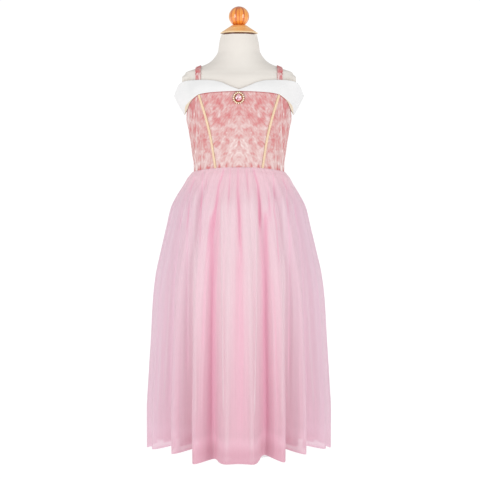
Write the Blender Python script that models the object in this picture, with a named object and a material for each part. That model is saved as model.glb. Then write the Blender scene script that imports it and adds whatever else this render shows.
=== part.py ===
"""A princess costume dress on a limbless child's dress form.

Metres, +Z up. The origin is the middle of the stand's underside, and the front faces -Y.
Angles go round the Z axis from the centre front (-Y) towards the wearer's left (+X).
The cloth is made of walls: a grid of points for the outer side, and the same grid moved inwards.
"""

import math

import bpy
import numpy as np

# Driving sizes
CLOTH_GAP = 0.0016  # between the form and the velvet panels
WAIST_GAP = 0.0010  # between the form and the skirts at the waist
STRAP_GAP = 0.0008  # between the form and the straps
SEAM_GAP = 0.0003  # between two sewn pieces
TRIM_GAP = 0.0005  # between a trim and the velvet
VELVET = 0.0012
TULLE = 0.0012
LINING = 0.0012
TRIM_WIDTH = 0.0050
TRIM_THICK = 0.0012

COLLAR_OUT = 0.0033  # from the form to the inner side of the collar, where it lies on the velvet
COLLAR_EDGE = 0.0015  # the folded cloth's thickness at its edges
COLLAR_CROWN = 0.0016  # how much fuller it is between them
COLLAR_FULL_HEIGHT = 0.030  # a lower stretch of collar is less full

SIDE = math.radians(90)
WAIST_FRONT_Z = 0.6535
WAIST_SIDE_Z = 0.6440
WAIST_FLAT = math.radians(15)  # half of the stretch of the waist seam that runs level
MID_BODICE_Z = 0.7500

HEM_Z = 0.0050
HEM_HALF_WIDTH = 0.2139
HEM_DEPTH = 0.2000
FOLD_GROWTH = 0.8  # power of the way down by which the folds deepen
GATHERS = 36
GATHER_DEPTH = 0.0042
GATHER_FULL_AT = 0.12  # share of the way down where the gathers are deepest
COLUMNS_PER_GATHER = 4
UNDERSKIRT_HEM_RISE = 0.022
UNDERSKIRT_INSET = 0.028  # at the hem, from the tulle's crests
UNDERSKIRT_FOLDS = 0.5  # its folds' depth as a share of the tulle's

ARM_PLATE_X = 0.1295
ARM_STUB = 0.014
ARM_STUB_FACING = (math.radians(71), math.radians(81))  # the stub rises between these angles
ARM_STUB_BOTTOM = (0.808, 0.826)
ARM_STUB_TOP = (0.860, 0.869)
SHOULDER_Z = 0.8698
NECK_BASE_Z = 0.8937
FORM_SIDES = 36

STRAP_X = 0.0940
STRAP_WIDTH = 0.0128
STRAP_RUCHES = 13
STRAP_FLAT = 0.0016  # thickness under the collar
STRAP_FULL = 0.0006  # added where it is free
STRAP_RUCHE = 0.0010  # added on a ruche's crest

NECK_TOP_Z = 0.9560
CAP_BOTTOM_Z = 0.9563
CAP_RIM_Z = 0.9598
CAP_TOP_Z = 0.9791
CAP_TOP_RADIUS = 0.0170
CAP_RIM_RADIUS = 0.0431
CAP_FOOT_RADIUS = 0.0352
KNOB_RADIUS = 0.0233
KNOB_Z = 0.9990
POLE_RADIUS = 0.0125
BASE_RADIUS = 0.105
BASE_THICK = 0.008
BASE_EDGE = 0.002  # bevel

BROOCH_X = -0.0009
BROOCH_Z = 0.8090
BROOCH_GAP = 0.0005  # to the velvet
BROOCH_HALF_WIDTH = 0.0137
BROOCH_HALF_HEIGHT = 0.0143
BROOCH_POINT = 0.03  # how much longer the drop's point is, as a share of its half height
BROOCH_BEADS = 20
BEAD_SWELL = 0.045
STONE_HALF_WIDTH = 0.0066
STONE_HALF_HEIGHT = 0.0076
STONE_POINT = 0.20
STONE_SIDES = 20


class Table:
    """Rows of numbers under named columns, read along smooth curves at any value of the first column."""

    def __init__(self, columns, rows):
        self.values = dict(zip(columns, np.array(rows, float).T))
        self.knots = self.values[columns[0]]

    def at(self, column, where):
        return curve_through(self.knots, self.values[column], where)


def curve_through(knots, values, where):
    """A smooth curve through (knots, values) that turns only at its points, read at where."""
    steps = np.diff(knots)
    slopes = np.diff(values) / steps
    product = slopes[:-1] * slopes[1:]
    total = slopes[:-1] + slopes[1:]
    tangents = np.concatenate([slopes[:1], np.zeros(len(slopes) - 1), slopes[-1:]])
    tangents[1:-1] = np.where(product > 0, 2 * product / np.where(product > 0, total, 1), 0)
    where = np.clip(where, knots[0], knots[-1])
    cell = np.clip(np.searchsorted(knots, where, side="right") - 1, 0, len(steps) - 1)
    step = steps[cell]
    t = (where - knots[cell]) / step
    rise = values[cell + 1] - values[cell]
    start, end = tangents[cell] * step, tangents[cell + 1] * step
    return values[cell] + t * (start + t * (3 * rise - 2 * start - end + t * (start + end - 2 * rise)))


def smoothstep(low, high, value):
    t = np.clip((value - low) / (high - low), 0, 1)
    return t * t * (3 - 2 * t)


# The form's level sections, from the bottom of the torso to the top of the neck
FORM = Table(
    ("z", "half_width", "front", "back", "squareness"),
    (
        (0.5000, 0.1000, 0.0730, 0.0740, 2.2),
        (0.5060, 0.1085, 0.0805, 0.0810, 2.2),
        (0.5300, 0.1130, 0.0855, 0.0865, 2.2),
        (0.5700, 0.1125, 0.0880, 0.0880, 2.2),
        (0.6200, 0.1040, 0.0865, 0.0755, 2.3),
        (0.6500, 0.1009, 0.0824, 0.0680, 2.35),
        (0.6646, 0.1012, 0.0818, 0.0678, 2.4),
        (0.6850, 0.1047, 0.0812, 0.0690, 2.4),
        (0.7060, 0.1074, 0.0808, 0.0705, 2.4),
        (0.7405, 0.1130, 0.0802, 0.0732, 2.4),
        (0.7680, 0.1175, 0.0798, 0.0748, 2.4),
        (0.8000, 0.1180, 0.0790, 0.0755, 2.4),
        (0.8300, 0.1190, 0.0772, 0.0765, 2.4),
        (0.8500, 0.1215, 0.0735, 0.0755, 2.4),
        (0.8600, 0.1235, 0.0695, 0.0725, 2.4),
        (0.8698, 0.1245, 0.0625, 0.0665, 2.4),
        (0.8800, 0.1005, 0.0565, 0.0605, 2.3),
        (0.8937, 0.0715, 0.0510, 0.0550, 2.2),
        (0.9060, 0.0587, 0.0475, 0.0505, 2.1),
        (0.9190, 0.0492, 0.0450, 0.0470, 2.0),
        (0.9370, 0.0455, 0.0435, 0.0445, 2.0),
        (0.9560, 0.0414, 0.0414, 0.0414, 2.0),
    ),
)

# The princess seam between the front panels, from the waist to the neckline
PRINCESS_SEAM = Table(
    ("z", "x"),
    (
        (0.6400, 0.0490),
        (0.6560, 0.0516),
        (0.7140, 0.0604),
        (0.7520, 0.0687),
        (0.8180, 0.0880),
        (0.8450, 0.0962),
    ),
)

# The upper edge of the velvet, hidden under the collar, down to the underarm
BODICE_TOP = Table(
    ("angle_deg", "z"),
    (
        (0, 0.8262),
        (9, 0.8285),
        (20, 0.8348),
        (32, 0.8425),
        (58, 0.8455),
        (66, 0.8290),
        (76, 0.7930),
        (90, 0.7710),
        (104, 0.7900),
        (116, 0.8220),
        (126, 0.8400),
        (180, 0.8410),
    ),
)

# The collar's fold and lower edge, each with how far it stands off the velvet
COLLAR = Table(
    ("angle_deg", "fold_z", "fold_off_mm", "edge_z", "edge_off_mm"),
    (
        (0, 0.8290, 0.0, 0.8243, 0.0),
        (8, 0.8308, 0.0, 0.8242, 0.0),
        (18, 0.8362, 0.0, 0.8238, 0.0),
        (28, 0.8437, 0.0, 0.8232, 0.0),
        (42, 0.8498, 0.0, 0.8218, 0.0),
        (55, 0.8510, 0.4, 0.8182, 0.1),
        (63, 0.8508, 2.0, 0.8100, 0.3),
        (70, 0.8500, 6.8, 0.8010, 0.8),
        (77, 0.8440, 15.0, 0.7900, 1.6),
        (84, 0.8290, 21.5, 0.7800, 2.6),
        (90, 0.8187, 26.0, 0.7742, 3.2),
        (96, 0.8270, 21.5, 0.7790, 2.6),
        (104, 0.8420, 13.5, 0.7870, 1.4),
        (114, 0.8480, 4.0, 0.7960, 0.4),
        (130, 0.8475, 0.2, 0.8050, 0.0),
        (180, 0.8450, 0.0, 0.8080, 0.0),
    ),
)

# The skirt's outline from the front, at its sides
SKIRT_SIDE = Table(
    ("z", "half_width"),
    (
        (0.0040, 0.2139),
        (0.0918, 0.2136),
        (0.1609, 0.2095),
        (0.2299, 0.2050),
        (0.2989, 0.2002),
        (0.3541, 0.1956),
        (0.4093, 0.1888),
        (0.4645, 0.1772),
        (0.5197, 0.1638),
        (0.5611, 0.1556),
        (0.5887, 0.1440),
        (0.6163, 0.1292),
        (0.6301, 0.1200),
        (0.6400, 0.1095),
        (0.6440, 0.1045),
    ),
)

# Every second row is the crest of a fold and the others its trough: where it starts at the waist, where
# it ends at the hem, how far it reaches out there, from the middle to the hem's oval, and how far the
# hem is lifted
SKIRT_FOLDS = (
    ("waist_deg", "hem_deg", "reach", "lift_mm"),
    (
        (0.0, 0.5, 0.965, 0.5),
        (8.5, 9.0, 1.000, 0.0),
        (20.5, 20.0, 0.805, 13.0),
        (30.0, 29.5, 1.000, 1.0),
        (38.5, 36.0, 0.800, 24.0),
        (47.0, 46.5, 0.985, 12.0),
        (56.0, 55.0, 0.840, 25.0),
        (65.0, 67.0, 1.000, 14.0),
        (73.0, 75.0, 0.950, 15.0),
        (80.0, 82.0, 1.000, 8.0),
        (85.5, 87.5, 0.960, 4.0),
        (91.0, 93.0, 1.000, 2.0),
        (100.0, 102.0, 0.900, 8.0),
        (109.0, 110.0, 1.000, 6.0),
        (119.0, 121.0, 0.830, 16.0),
        (129.0, 131.0, 1.000, 4.0),
        (138.0, 141.0, 0.870, 12.0),
        (148.0, 150.0, 0.990, 3.0),
        (159.0, 160.0, 0.810, 15.0),
        (170.0, 170.0, 1.000, 1.0),
        (181.0, 181.0, 0.900, 7.0),
        (192.0, 191.0, 1.000, 1.0),
        (203.0, 201.0, 0.820, 14.0),
        (213.0, 211.0, 0.990, 3.0),
        (222.0, 220.0, 0.880, 10.0),
        (231.0, 230.0, 1.000, 5.0),
        (241.0, 240.0, 0.835, 17.0),
        (251.0, 250.0, 1.000, 6.0),
        (260.0, 259.0, 0.910, 8.0),
        (269.0, 267.5, 1.000, 2.0),
        (274.5, 273.0, 0.955, 4.0),
        (280.0, 278.5, 1.000, 8.0),
        (287.0, 285.0, 0.955, 14.0),
        (295.0, 293.0, 1.000, 13.0),
        (304.0, 305.0, 0.835, 25.0),
        (313.0, 313.5, 0.985, 13.0),
        (321.5, 324.0, 0.800, 24.0),
        (330.0, 330.5, 1.000, -3.0),
        (338.5, 340.0, 0.800, 4.0),
        (351.0, 351.0, 1.000, 0.5),
    ),
)

# Heights of the rows of points down the skirt, as shares of the way to the hem
SKIRT_LEVELS = (0.0, 0.014, 0.045, 0.09, 0.16, 0.26, 0.40, 0.57, 0.77, 1.0)
UNDERSKIRT_LEVELS = (0.0, 0.03, 0.09, 0.20, 0.40, 0.68, 1.0)

# Heights of the rows of points up the form
FORM_LEVELS = (
    *(0.5000, 0.5030, 0.5080, 0.5300, 0.5700, 0.6100, 0.6500, 0.6850, 0.7250, 0.7650, 0.7860),
    *(0.8080, 0.8270, 0.8560, 0.8640, SHOULDER_Z, 0.8770, 0.8860, 0.8960, 0.9080, 0.9240, 0.9440),
    NECK_TOP_Z,
)

# The brooch's setting and stone, back to front: (share of the outline, distance forwards), and whether
# the setting's edge is beaded there
SETTING_STEPS = (
    (0.90, 0.0000, False),
    (0.99, 0.0010, True),
    (0.95, 0.0027, True),
    (0.80, 0.0030, False),
    (0.72, 0.0018, False),
    (0.62, 0.0014, False),
)
STONE_STEPS = ((0.80, 0.0017), (1.0, 0.0024), (0.86, 0.0041), (0.52, 0.0053))


def section_radius(angle, half_width, front, back, squareness):
    """Distance from the axis to a rounded section, deeper or shallower behind than in front."""
    depth = np.where(np.cos(angle) > 0, front, back)
    across = (np.abs(np.sin(angle)) / half_width) ** squareness
    along = (np.abs(np.cos(angle)) / depth) ** squareness
    return (across + along) ** (-1 / squareness)


def chest_radius(angle, z):
    """The form's section without the stubs of its arms."""
    sizes = [FORM.at(column, z) for column in ("half_width", "front", "back", "squareness")]
    return section_radius(angle, *sizes)


def form_radius(angle, z):
    """The form's section with the stubs of its arms, cut flat at the arm plates."""
    sideways = np.abs(np.sin(angle))
    facing = smoothstep(*np.sin(ARM_STUB_FACING), sideways)
    height = smoothstep(*ARM_STUB_BOTTOM, z) * (1 - smoothstep(*ARM_STUB_TOP, z))
    radius = chest_radius(angle, z) + ARM_STUB * facing * height
    return np.minimum(radius, ARM_PLATE_X / np.maximum(sideways, 1e-6))


def points_at(angle, radius, z):
    angle, radius, z = np.broadcast_arrays(angle, radius, z)
    return np.stack([radius * np.sin(angle), -radius * np.cos(angle), z], axis=-1)


def from_front(angle):
    """The same angle as its distance from the centre front, 0 to 180 degrees, in radians."""
    return np.abs((angle + math.pi) % (2 * math.pi) - math.pi)


def waist_z(angle):
    drop = smoothstep(WAIST_FLAT, SIDE, from_front(angle))
    return WAIST_FRONT_Z - (WAIST_FRONT_Z - WAIST_SIDE_Z) * drop


def bodice_top_z(angle):
    return BODICE_TOP.at("z", np.degrees(from_front(angle)))


def princess_angle(z):
    """The angle at which the princess seam crosses a height."""
    x = PRINCESS_SEAM.at("x", z)
    square = FORM.at("squareness", z)
    depth = FORM.at("front", z) * (1 - (x / FORM.at("half_width", z)) ** square) ** (1 / square)
    return np.arctan2(x, depth)


def material(name, colour, roughness, metallic=0.0):
    """colour is in 0 to 255 as a photograph stores it."""
    made = bpy.data.materials.new(name)
    made.use_nodes = True
    shader = made.node_tree.nodes["Principled BSDF"]
    linear = [((c / 255 + 0.055) / 1.055) ** 2.4 for c in colour]
    shader.inputs["Base Color"].default_value = (*linear, 1.0)
    shader.inputs["Roughness"].default_value = roughness
    shader.inputs["Metallic"].default_value = metallic
    made.diffuse_color = (*linear, 1.0)
    return made


def add_object(name, points, faces, look, parent):
    """A mesh object whose faces are turned outwards together, whichever way they were listed."""
    points = np.asarray(points, float).reshape(-1, 3)
    corners = points[np.array([face[:3] for face in faces])]
    if np.linalg.det(corners - points.mean(axis=0)).sum() < 0:
        faces = [face[::-1] for face in faces]
    mesh = bpy.data.meshes.new(name)
    mesh.from_pydata(points.tolist(), [], faces)
    mesh.shade_smooth()
    mesh.set_sharp_from_angle(angle=math.radians(50))
    mesh.materials.append(look)
    made = bpy.data.objects.new(name, mesh)
    bpy.context.scene.collection.objects.link(made)
    made.parent = parent
    return made


def strip(near, far):
    """Faces between two rows of point numbers."""
    return list(zip(near[:-1], near[1:], far[1:], far[:-1]))


def add_wall(name, outer, inner, look, parent):
    """A closed wall between two grids of points, by row and column."""
    rows, columns = outer.shape[:2]
    number = np.arange(rows * columns).reshape(rows, columns)
    out, back = number.tolist(), (number + rows * columns).tolist()
    faces = strip(out[0], back[0]) + strip(back[-1], out[-1])
    for row in range(rows - 1):
        faces += strip(out[row + 1], out[row])
        # the same corners the other way round, so that both sides bend along the same diagonal
        faces += [(a, d, c, b) for a, b, c, d in strip(back[row + 1], back[row])]
        faces.append((out[row + 1][0], out[row][0], back[row][0], back[row + 1][0]))
        faces.append((out[row][-1], out[row + 1][-1], back[row + 1][-1], back[row][-1]))
    points = np.concatenate([outer.reshape(-1, 3), inner.reshape(-1, 3)])
    return add_object(name, points, faces, look, parent)


def add_loft(name, rings, look, parent):
    """A solid through closed rings of points, its two ends closed at their middles."""
    count, columns = rings.shape[:2]
    number = np.arange(count * columns).reshape(count, columns).tolist()
    ends = [rings[0].mean(axis=0), rings[-1].mean(axis=0)]
    first, last = count * columns, count * columns + 1
    closed = [row + row[:1] for row in number]
    faces = []
    for row in range(count - 1):
        faces += strip(closed[row], closed[row + 1])
    for i in range(columns):
        after = (i + 1) % columns
        faces.append((number[0][after], number[0][i], first))
        faces.append((number[-1][i], number[-1][after], last))
    return add_object(name, np.concatenate([rings.reshape(-1, 3), ends]), faces, look, parent)


def add_turned(name, profile, sides, look, parent, z=0.0):
    """A solid turned round the Z axis. The profile lists (radius, z) from its top to its underside."""
    mesh = bpy.data.meshes.new(name)
    edges = [(i, i + 1) for i in range(len(profile) - 1)]
    mesh.from_pydata([(radius, 0, height) for radius, height in profile], edges, [])
    mesh.materials.append(look)
    made = bpy.data.objects.new(name, mesh)
    bpy.context.scene.collection.objects.link(made)
    turn = made.modifiers.new("turn", "SCREW")
    turn.steps = turn.render_steps = sides
    turn.use_merge_vertices = True
    turn.merge_threshold = 0.00001
    turn.use_smooth_shade = True
    made.location.z = z
    made.parent = parent
    return made


def outward_normals(grid):
    """Normals of a grid whose columns close into a ring."""
    round_it = np.roll(grid, -1, axis=1) - np.roll(grid, 1, axis=1)
    down = np.gradient(grid, axis=0)
    normals = np.cross(round_it, down)
    normals /= np.linalg.norm(normals, axis=-1, keepdims=True)
    turned = (normals[..., :2] * grid[..., :2]).sum(axis=-1).mean() < 0
    return -normals if turned else normals


def part_of_ring(outer, inner, first, last):
    """Columns first to last of a ring's two grids, each end drawn in by a little over half a seam's gap."""
    columns = np.arange(first, last + 1) % outer.shape[1]
    cut = []
    for grid in (outer[:, columns], inner[:, columns]):
        grid = grid.copy()
        for end, beside in ((0, 1), (-1, -2)):
            step = grid[:, beside] - grid[:, end]
            grid[:, end] += step / np.linalg.norm(step, axis=-1, keepdims=True) * 0.6 * SEAM_GAP
        cut.append(grid)
    return cut


def add_halves(name, outer, inner, look, dress):
    """A ring of cloth in a front and a back half, which meet at the sides."""
    quarter = outer.shape[1] // 4
    add_wall(name + "_front", *part_of_ring(outer, inner, -quarter, quarter), look, dress)
    add_wall(name + "_back", *part_of_ring(outer, inner, quarter, 3 * quarter), look, dress)


def panel_grid(low_angle, high_angle, columns, rows, low_z=waist_z, high_z=bodice_top_z):
    """Angles and heights of a panel's points. Its sides are angles at a height, its ends heights."""
    across = np.linspace(0, 1, columns)

    def edge(height_at):
        """Heights along an end. They settle after a few steps, since each depends on the other's angle."""
        z = np.full(columns, MID_BODICE_Z)
        for _ in range(12):
            z = height_at(low_angle(z) + (high_angle(z) - low_angle(z)) * across)
        return z

    bottom, top = edge(low_z), edge(high_z)
    z = bottom + (top - bottom) * np.linspace(0, 1, rows)[:, None]
    half_gap = 0.5 * SEAM_GAP / form_radius(low_angle(z), z)
    low, high = low_angle(z) + half_gap, high_angle(z) - half_gap
    return low + (high - low) * across, z


BODICE_ROWS = 9


def add_bodice(look, dress):
    """Velvet panels: a centre front, two side fronts cut to the princess seams, and one back."""
    seams = {
        "front_centre": (lambda z: -princess_angle(z), princess_angle, 9),
        "front_left": (princess_angle, lambda z: np.full_like(z, SIDE), 7),
        "front_right": (lambda z: np.full_like(z, -SIDE), lambda z: -princess_angle(z), 7),
        "back": (lambda z: np.full_like(z, SIDE), lambda z: np.full_like(z, 3 * SIDE), 21),
    }
    for name, (low, high, columns) in seams.items():
        angle, z = panel_grid(low, high, columns, BODICE_ROWS)
        radius = form_radius(angle, z) + CLOTH_GAP
        outer, inner = points_at(angle, radius + VELVET, z), points_at(angle, radius, z)
        add_wall("bodice_" + name, outer, inner, look, dress)


def collar_edge_z(angle):
    return COLLAR.at("edge_z", np.degrees(from_front(angle)))


def add_trims(look, dress):
    """Gold trims on the princess seams, from the waist to the collar's lower edge."""
    crown = TRIM_THICK * np.array([0.75, 1.0, 1.0, 0.75])
    half = 0.5 * TRIM_WIDTH / chest_radius(princess_angle(MID_BODICE_Z), MID_BODICE_Z)
    for name, side in (("trim_left", 1), ("trim_right", -1)):
        angle, z = panel_grid(
            lambda z: side * princess_angle(z) - half,
            lambda z: side * princess_angle(z) + half,
            len(crown),
            BODICE_ROWS,
            high_z=lambda angle: collar_edge_z(angle) - 2 * SEAM_GAP,
        )
        inner = form_radius(angle, z) + CLOTH_GAP + VELVET + TRIM_GAP
        add_wall(name, points_at(angle, inner + crown, z), points_at(angle, inner, z), look, dress)


def add_collar(look, dress):
    """The fold-over collar: it lies on the chest, and stands off the arm plates in a pointed wing."""
    rows, columns = 5, 64
    down = np.linspace(0, 1, rows)[:, None]
    angle = np.arange(columns) * 2 * math.pi / columns
    degrees = np.degrees(from_front(angle))
    fold_z, edge_z = COLLAR.at("fold_z", degrees), COLLAR.at("edge_z", degrees)
    fold_out, edge_out = (
        COLLAR_OUT + 0.001 * COLLAR.at(column, degrees) for column in ("fold_off_mm", "edge_off_mm")
    )
    z = fold_z + (edge_z - fold_z) * down
    crown = COLLAR_CROWN * np.sin(math.pi * down) ** 0.7
    inner = chest_radius(angle, z) + fold_out + (edge_out - fold_out) * down
    outer = inner + COLLAR_EDGE + crown * np.clip((fold_z - edge_z) / COLLAR_FULL_HEIGHT, 0, 1)
    add_halves("collar", points_at(angle, outer, z), points_at(angle, inner, z), look, dress)


def shoulder_line(x, low_z, count):
    """(y, z) on the form at one x, from the chest over the shoulder and down the back, evenly spaced."""
    heights = np.linspace(SHOULDER_Z, NECK_BASE_Z, 400)
    top = heights[np.argmin(np.abs(FORM.at("half_width", heights) - x))]
    z = top - (top - low_z) * np.linspace(1, 0, 120) ** 2
    square = FORM.at("squareness", z)
    rest = np.clip(1 - (x / FORM.at("half_width", z)) ** square, 0, None) ** (1 / square)
    front = np.stack([-FORM.at("front", z) * rest, z], axis=-1)
    back = np.stack([FORM.at("back", z) * rest, z], axis=-1)[::-1]
    line = np.concatenate([front[:-1], back])
    length = np.concatenate([[0], np.cumsum(np.linalg.norm(np.diff(line, axis=0), axis=1))])
    even = np.linspace(0, length[-1], count)
    return np.stack([np.interp(even, length, line[:, 0]), np.interp(even, length, line[:, 1])], axis=-1)


def add_straps(look, dress):
    """Ruched velvet straps from the front neckline over the shoulders to the back one."""
    count = 2 * STRAP_RUCHES + 1
    share = np.linspace(0, 1, count)
    ruche = 0.5 - 0.5 * np.cos(2 * math.pi * STRAP_RUCHES * share)
    clear_of_collar = smoothstep(0.05, 0.16, np.minimum(share, 1 - share))
    thick = STRAP_FLAT + clear_of_collar * (STRAP_FULL + STRAP_RUCHE * ruche)
    across = np.array([-0.5, -0.26, 0.26, 0.5])
    crown = np.array([0.62, 1.0, 1.0, 0.62])
    for name, side in (("strap_left", 1), ("strap_right", -1)):
        outer, inner = [], []
        for place, height in zip(across, crown):
            x = STRAP_X + place * STRAP_WIDTH
            line = shoulder_line(x, bodice_top_z(math.radians(57)) + 2 * SEAM_GAP, count)
            along = np.gradient(line, axis=0)
            away = np.stack([-along[:, 1], along[:, 0]], axis=-1) / np.linalg.norm(along, axis=1)[:, None]
            xs = np.full(count, side * x)
            for grid, offset in ((inner, STRAP_GAP), (outer, STRAP_GAP + thick * height)):
                moved = line + away * np.broadcast_to(offset, count)[:, None]
                grid.append(np.column_stack([xs, moved]))
        add_wall(name, np.stack(outer, axis=1), np.stack(inner, axis=1), look, dress)


def fold_values(column, waist_angle):
    """A column of SKIRT_FOLDS at angles round the waist; the table closes on itself."""
    names, rows = SKIRT_FOLDS
    rows = np.array(rows)
    knots = rows[:, 0]
    values = rows[:, names.index(column)]
    turn = 360 if column == "hem_deg" else 0
    knots = np.concatenate([knots - 360, knots, knots + 360])
    values = np.concatenate([values - turn, values, values + turn])
    return curve_through(knots, values, np.degrees(waist_angle))


def skirt_grid(columns, levels, waist_out, inset=0.0, fold_share=1.0, hem_rise=0.0, gather=0.0):
    """The skirt's outer points, from the waist seam to an oval hem. Its folds grow on the way."""
    waist = np.arange(columns) * 2 * math.pi / columns
    down = np.array(levels)[:, None]
    hem_angle = np.radians(fold_values("hem_deg", waist))
    angle = waist + (hem_angle - waist) * down
    hem = HEM_Z + hem_rise + 0.001 * fold_values("lift_mm", waist)
    start = waist_z(waist) - 1.4 * SEAM_GAP
    z = start + (hem - start) * down
    side_z = WAIST_SIDE_Z + (HEM_Z - WAIST_SIDE_Z) * (start - z) / (start - HEM_Z)
    narrowest = SKIRT_SIDE.at("half_width", WAIST_SIDE_Z)
    flare = (SKIRT_SIDE.at("half_width", side_z) - narrowest) / (HEM_HALF_WIDTH - narrowest)
    at_waist = form_radius(angle, np.broadcast_to(start, angle.shape)) + waist_out
    at_hem = section_radius(angle, HEM_HALF_WIDTH, HEM_DEPTH, HEM_DEPTH, 2.0)
    trough = (1 - fold_values("reach", waist)) * at_hem * down**FOLD_GROWTH
    radius = at_waist + (at_hem - at_waist) * flare - fold_share * trough - inset * flare
    number = np.arange(columns) * GATHERS / columns
    wave = 0.5 - 0.5 * np.cos(2 * math.pi * number)
    unevenness = 1 + 0.35 * np.sin(2.4 * np.floor(number)) + 0.2 * np.sin(5.1 * np.floor(number) + 1)
    # a quarter of the depth at the waist, all of it a little lower, none at the hem
    swell = 0.25 + 0.75 * smoothstep(0, GATHER_FULL_AT, down) - smoothstep(GATHER_FULL_AT, 1.0, down)
    radius = radius + 1.2 * gather * wave * unevenness * swell
    return points_at(angle, radius, z)


def inner_side(outer, thick):
    """A ring's inner points, a wall's thickness in; the top row stays level with the outer one."""
    inner = outer - thick * outward_normals(outer)
    inner[0, :, 2] = outer[0, :, 2]
    return inner


def add_skirts(tulle, lining, dress):
    """A gathered tulle skirt over a plainer underskirt, each with a front and a back."""
    columns = GATHERS * COLUMNS_PER_GATHER
    waist_out = WAIST_GAP + LINING + 1.3 * SEAM_GAP + TULLE
    outer = skirt_grid(columns, SKIRT_LEVELS, waist_out, gather=GATHER_DEPTH)
    add_halves("skirt", outer, inner_side(outer, TULLE), tulle, dress)
    outer = skirt_grid(
        columns // 2,
        UNDERSKIRT_LEVELS,
        WAIST_GAP + LINING,
        inset=UNDERSKIRT_INSET,
        fold_share=UNDERSKIRT_FOLDS,
        hem_rise=UNDERSKIRT_HEM_RISE,
    )
    add_halves("underskirt", outer, inner_side(outer, LINING), lining, dress)


def drop_outline(angle, half_width, half_height, point):
    """A drop's outline, its point up: (x, z) at angles from the top."""
    tip = 1 + point * np.clip(np.cos(angle), 0, 1) ** 8
    return np.stack([half_width * np.sin(angle), half_height * np.cos(angle) * tip], axis=-1)


def add_drop(name, outline, steps, look, parent, place):
    """A lofted drop. The steps are (share of the outline, distance towards the front)."""
    rings = []
    for share, forward in steps:
        scaled = outline * np.asarray(share).reshape(-1, 1)
        rings.append(np.column_stack([scaled[:, 0], np.full(len(scaled), -forward), scaled[:, 1]]))
    made = add_loft(name, np.array(rings), look, parent)
    made.location = place
    return made


def add_brooch(gold, crystal, dress):
    """A drop-shaped crystal in a beaded gold setting, below the collar's lower edge."""
    place = (BROOCH_X, -(chest_radius(0.0, BROOCH_Z) + CLOTH_GAP + VELVET + BROOCH_GAP), BROOCH_Z)
    angle = np.arange(2 * BROOCH_BEADS) * math.pi / BROOCH_BEADS
    bead = 1 + BEAD_SWELL * np.cos(BROOCH_BEADS * angle)
    outline = drop_outline(angle, BROOCH_HALF_WIDTH, BROOCH_HALF_HEIGHT, BROOCH_POINT)
    setting = [(share * bead if beaded else share, forward) for share, forward, beaded in SETTING_STEPS]
    add_drop("brooch_setting", outline, setting, gold, dress, place)
    angle = np.arange(STONE_SIDES) * 2 * math.pi / STONE_SIDES
    outline = drop_outline(angle, STONE_HALF_WIDTH, STONE_HALF_HEIGHT, STONE_POINT)
    add_drop("brooch_stone", outline, STONE_STEPS, crystal, dress, place)


def add_form(jersey, form):
    """Torso, shoulders and neck in one, with flat arm plates and a flat underside."""
    angle = np.arange(FORM_SIDES) * 2 * math.pi / FORM_SIDES
    z = np.broadcast_to(np.array(FORM_LEVELS)[:, None], (len(FORM_LEVELS), FORM_SIDES))
    add_loft("form_body", points_at(angle, form_radius(angle, z), z), jersey, form)


def add_cap_and_knob(pale_wood, dark_wood, form):
    """A flared cap with a thin rim on a narrower foot, and the ball on top of it."""
    rim_thick, rim_round = 0.0023, 0.0010
    flare = [
        (
            CAP_TOP_RADIUS + (CAP_RIM_RADIUS - CAP_TOP_RADIUS) * share,
            CAP_TOP_Z - (CAP_TOP_Z - CAP_RIM_Z - rim_thick) * share,
        )
        for share in np.linspace(0, 1, 5)
    ]
    under = CAP_RIM_Z - 0.6 * rim_round
    foot = [(CAP_FOOT_RADIUS, under), (CAP_FOOT_RADIUS, CAP_BOTTOM_Z), (0, CAP_BOTTOM_Z)]
    rim = [(CAP_RIM_RADIUS, CAP_RIM_Z), (CAP_RIM_RADIUS - rim_round, under)]
    add_turned("form_cap", [(0, CAP_TOP_Z), *flare, *rim, *foot], 28, pale_wood, form)
    bottom = CAP_TOP_Z + SEAM_GAP - KNOB_Z
    last = math.acos(bottom / KNOB_RADIUS)
    arc = [
        (KNOB_RADIUS * math.sin(turn), KNOB_RADIUS * math.cos(turn)) for turn in np.linspace(0, last, 11)
    ]
    add_turned("form_knob", [*arc, (0, bottom)], 22, dark_wood, form, z=KNOB_Z)


def add_stand(metal, form):
    pole_bottom, pole_top = BASE_THICK + SEAM_GAP, FORM.knots[0] - SEAM_GAP
    pole = [(0, pole_top), (POLE_RADIUS, pole_top), (POLE_RADIUS, pole_bottom), (0, pole_bottom)]
    add_turned("form_pole", pole, 20, metal, form)
    base = [
        (0, BASE_THICK),
        (BASE_RADIUS - 2 * BASE_EDGE, BASE_THICK),
        (BASE_RADIUS, BASE_THICK - BASE_EDGE),
        (BASE_RADIUS, BASE_EDGE),
        (BASE_RADIUS - BASE_EDGE, 0),
        (0, 0),
    ]
    add_turned("form_base", base, 40, metal, form)


def add_group(name):
    made = bpy.data.objects.new(name, None)
    bpy.context.scene.collection.objects.link(made)
    return made


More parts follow.
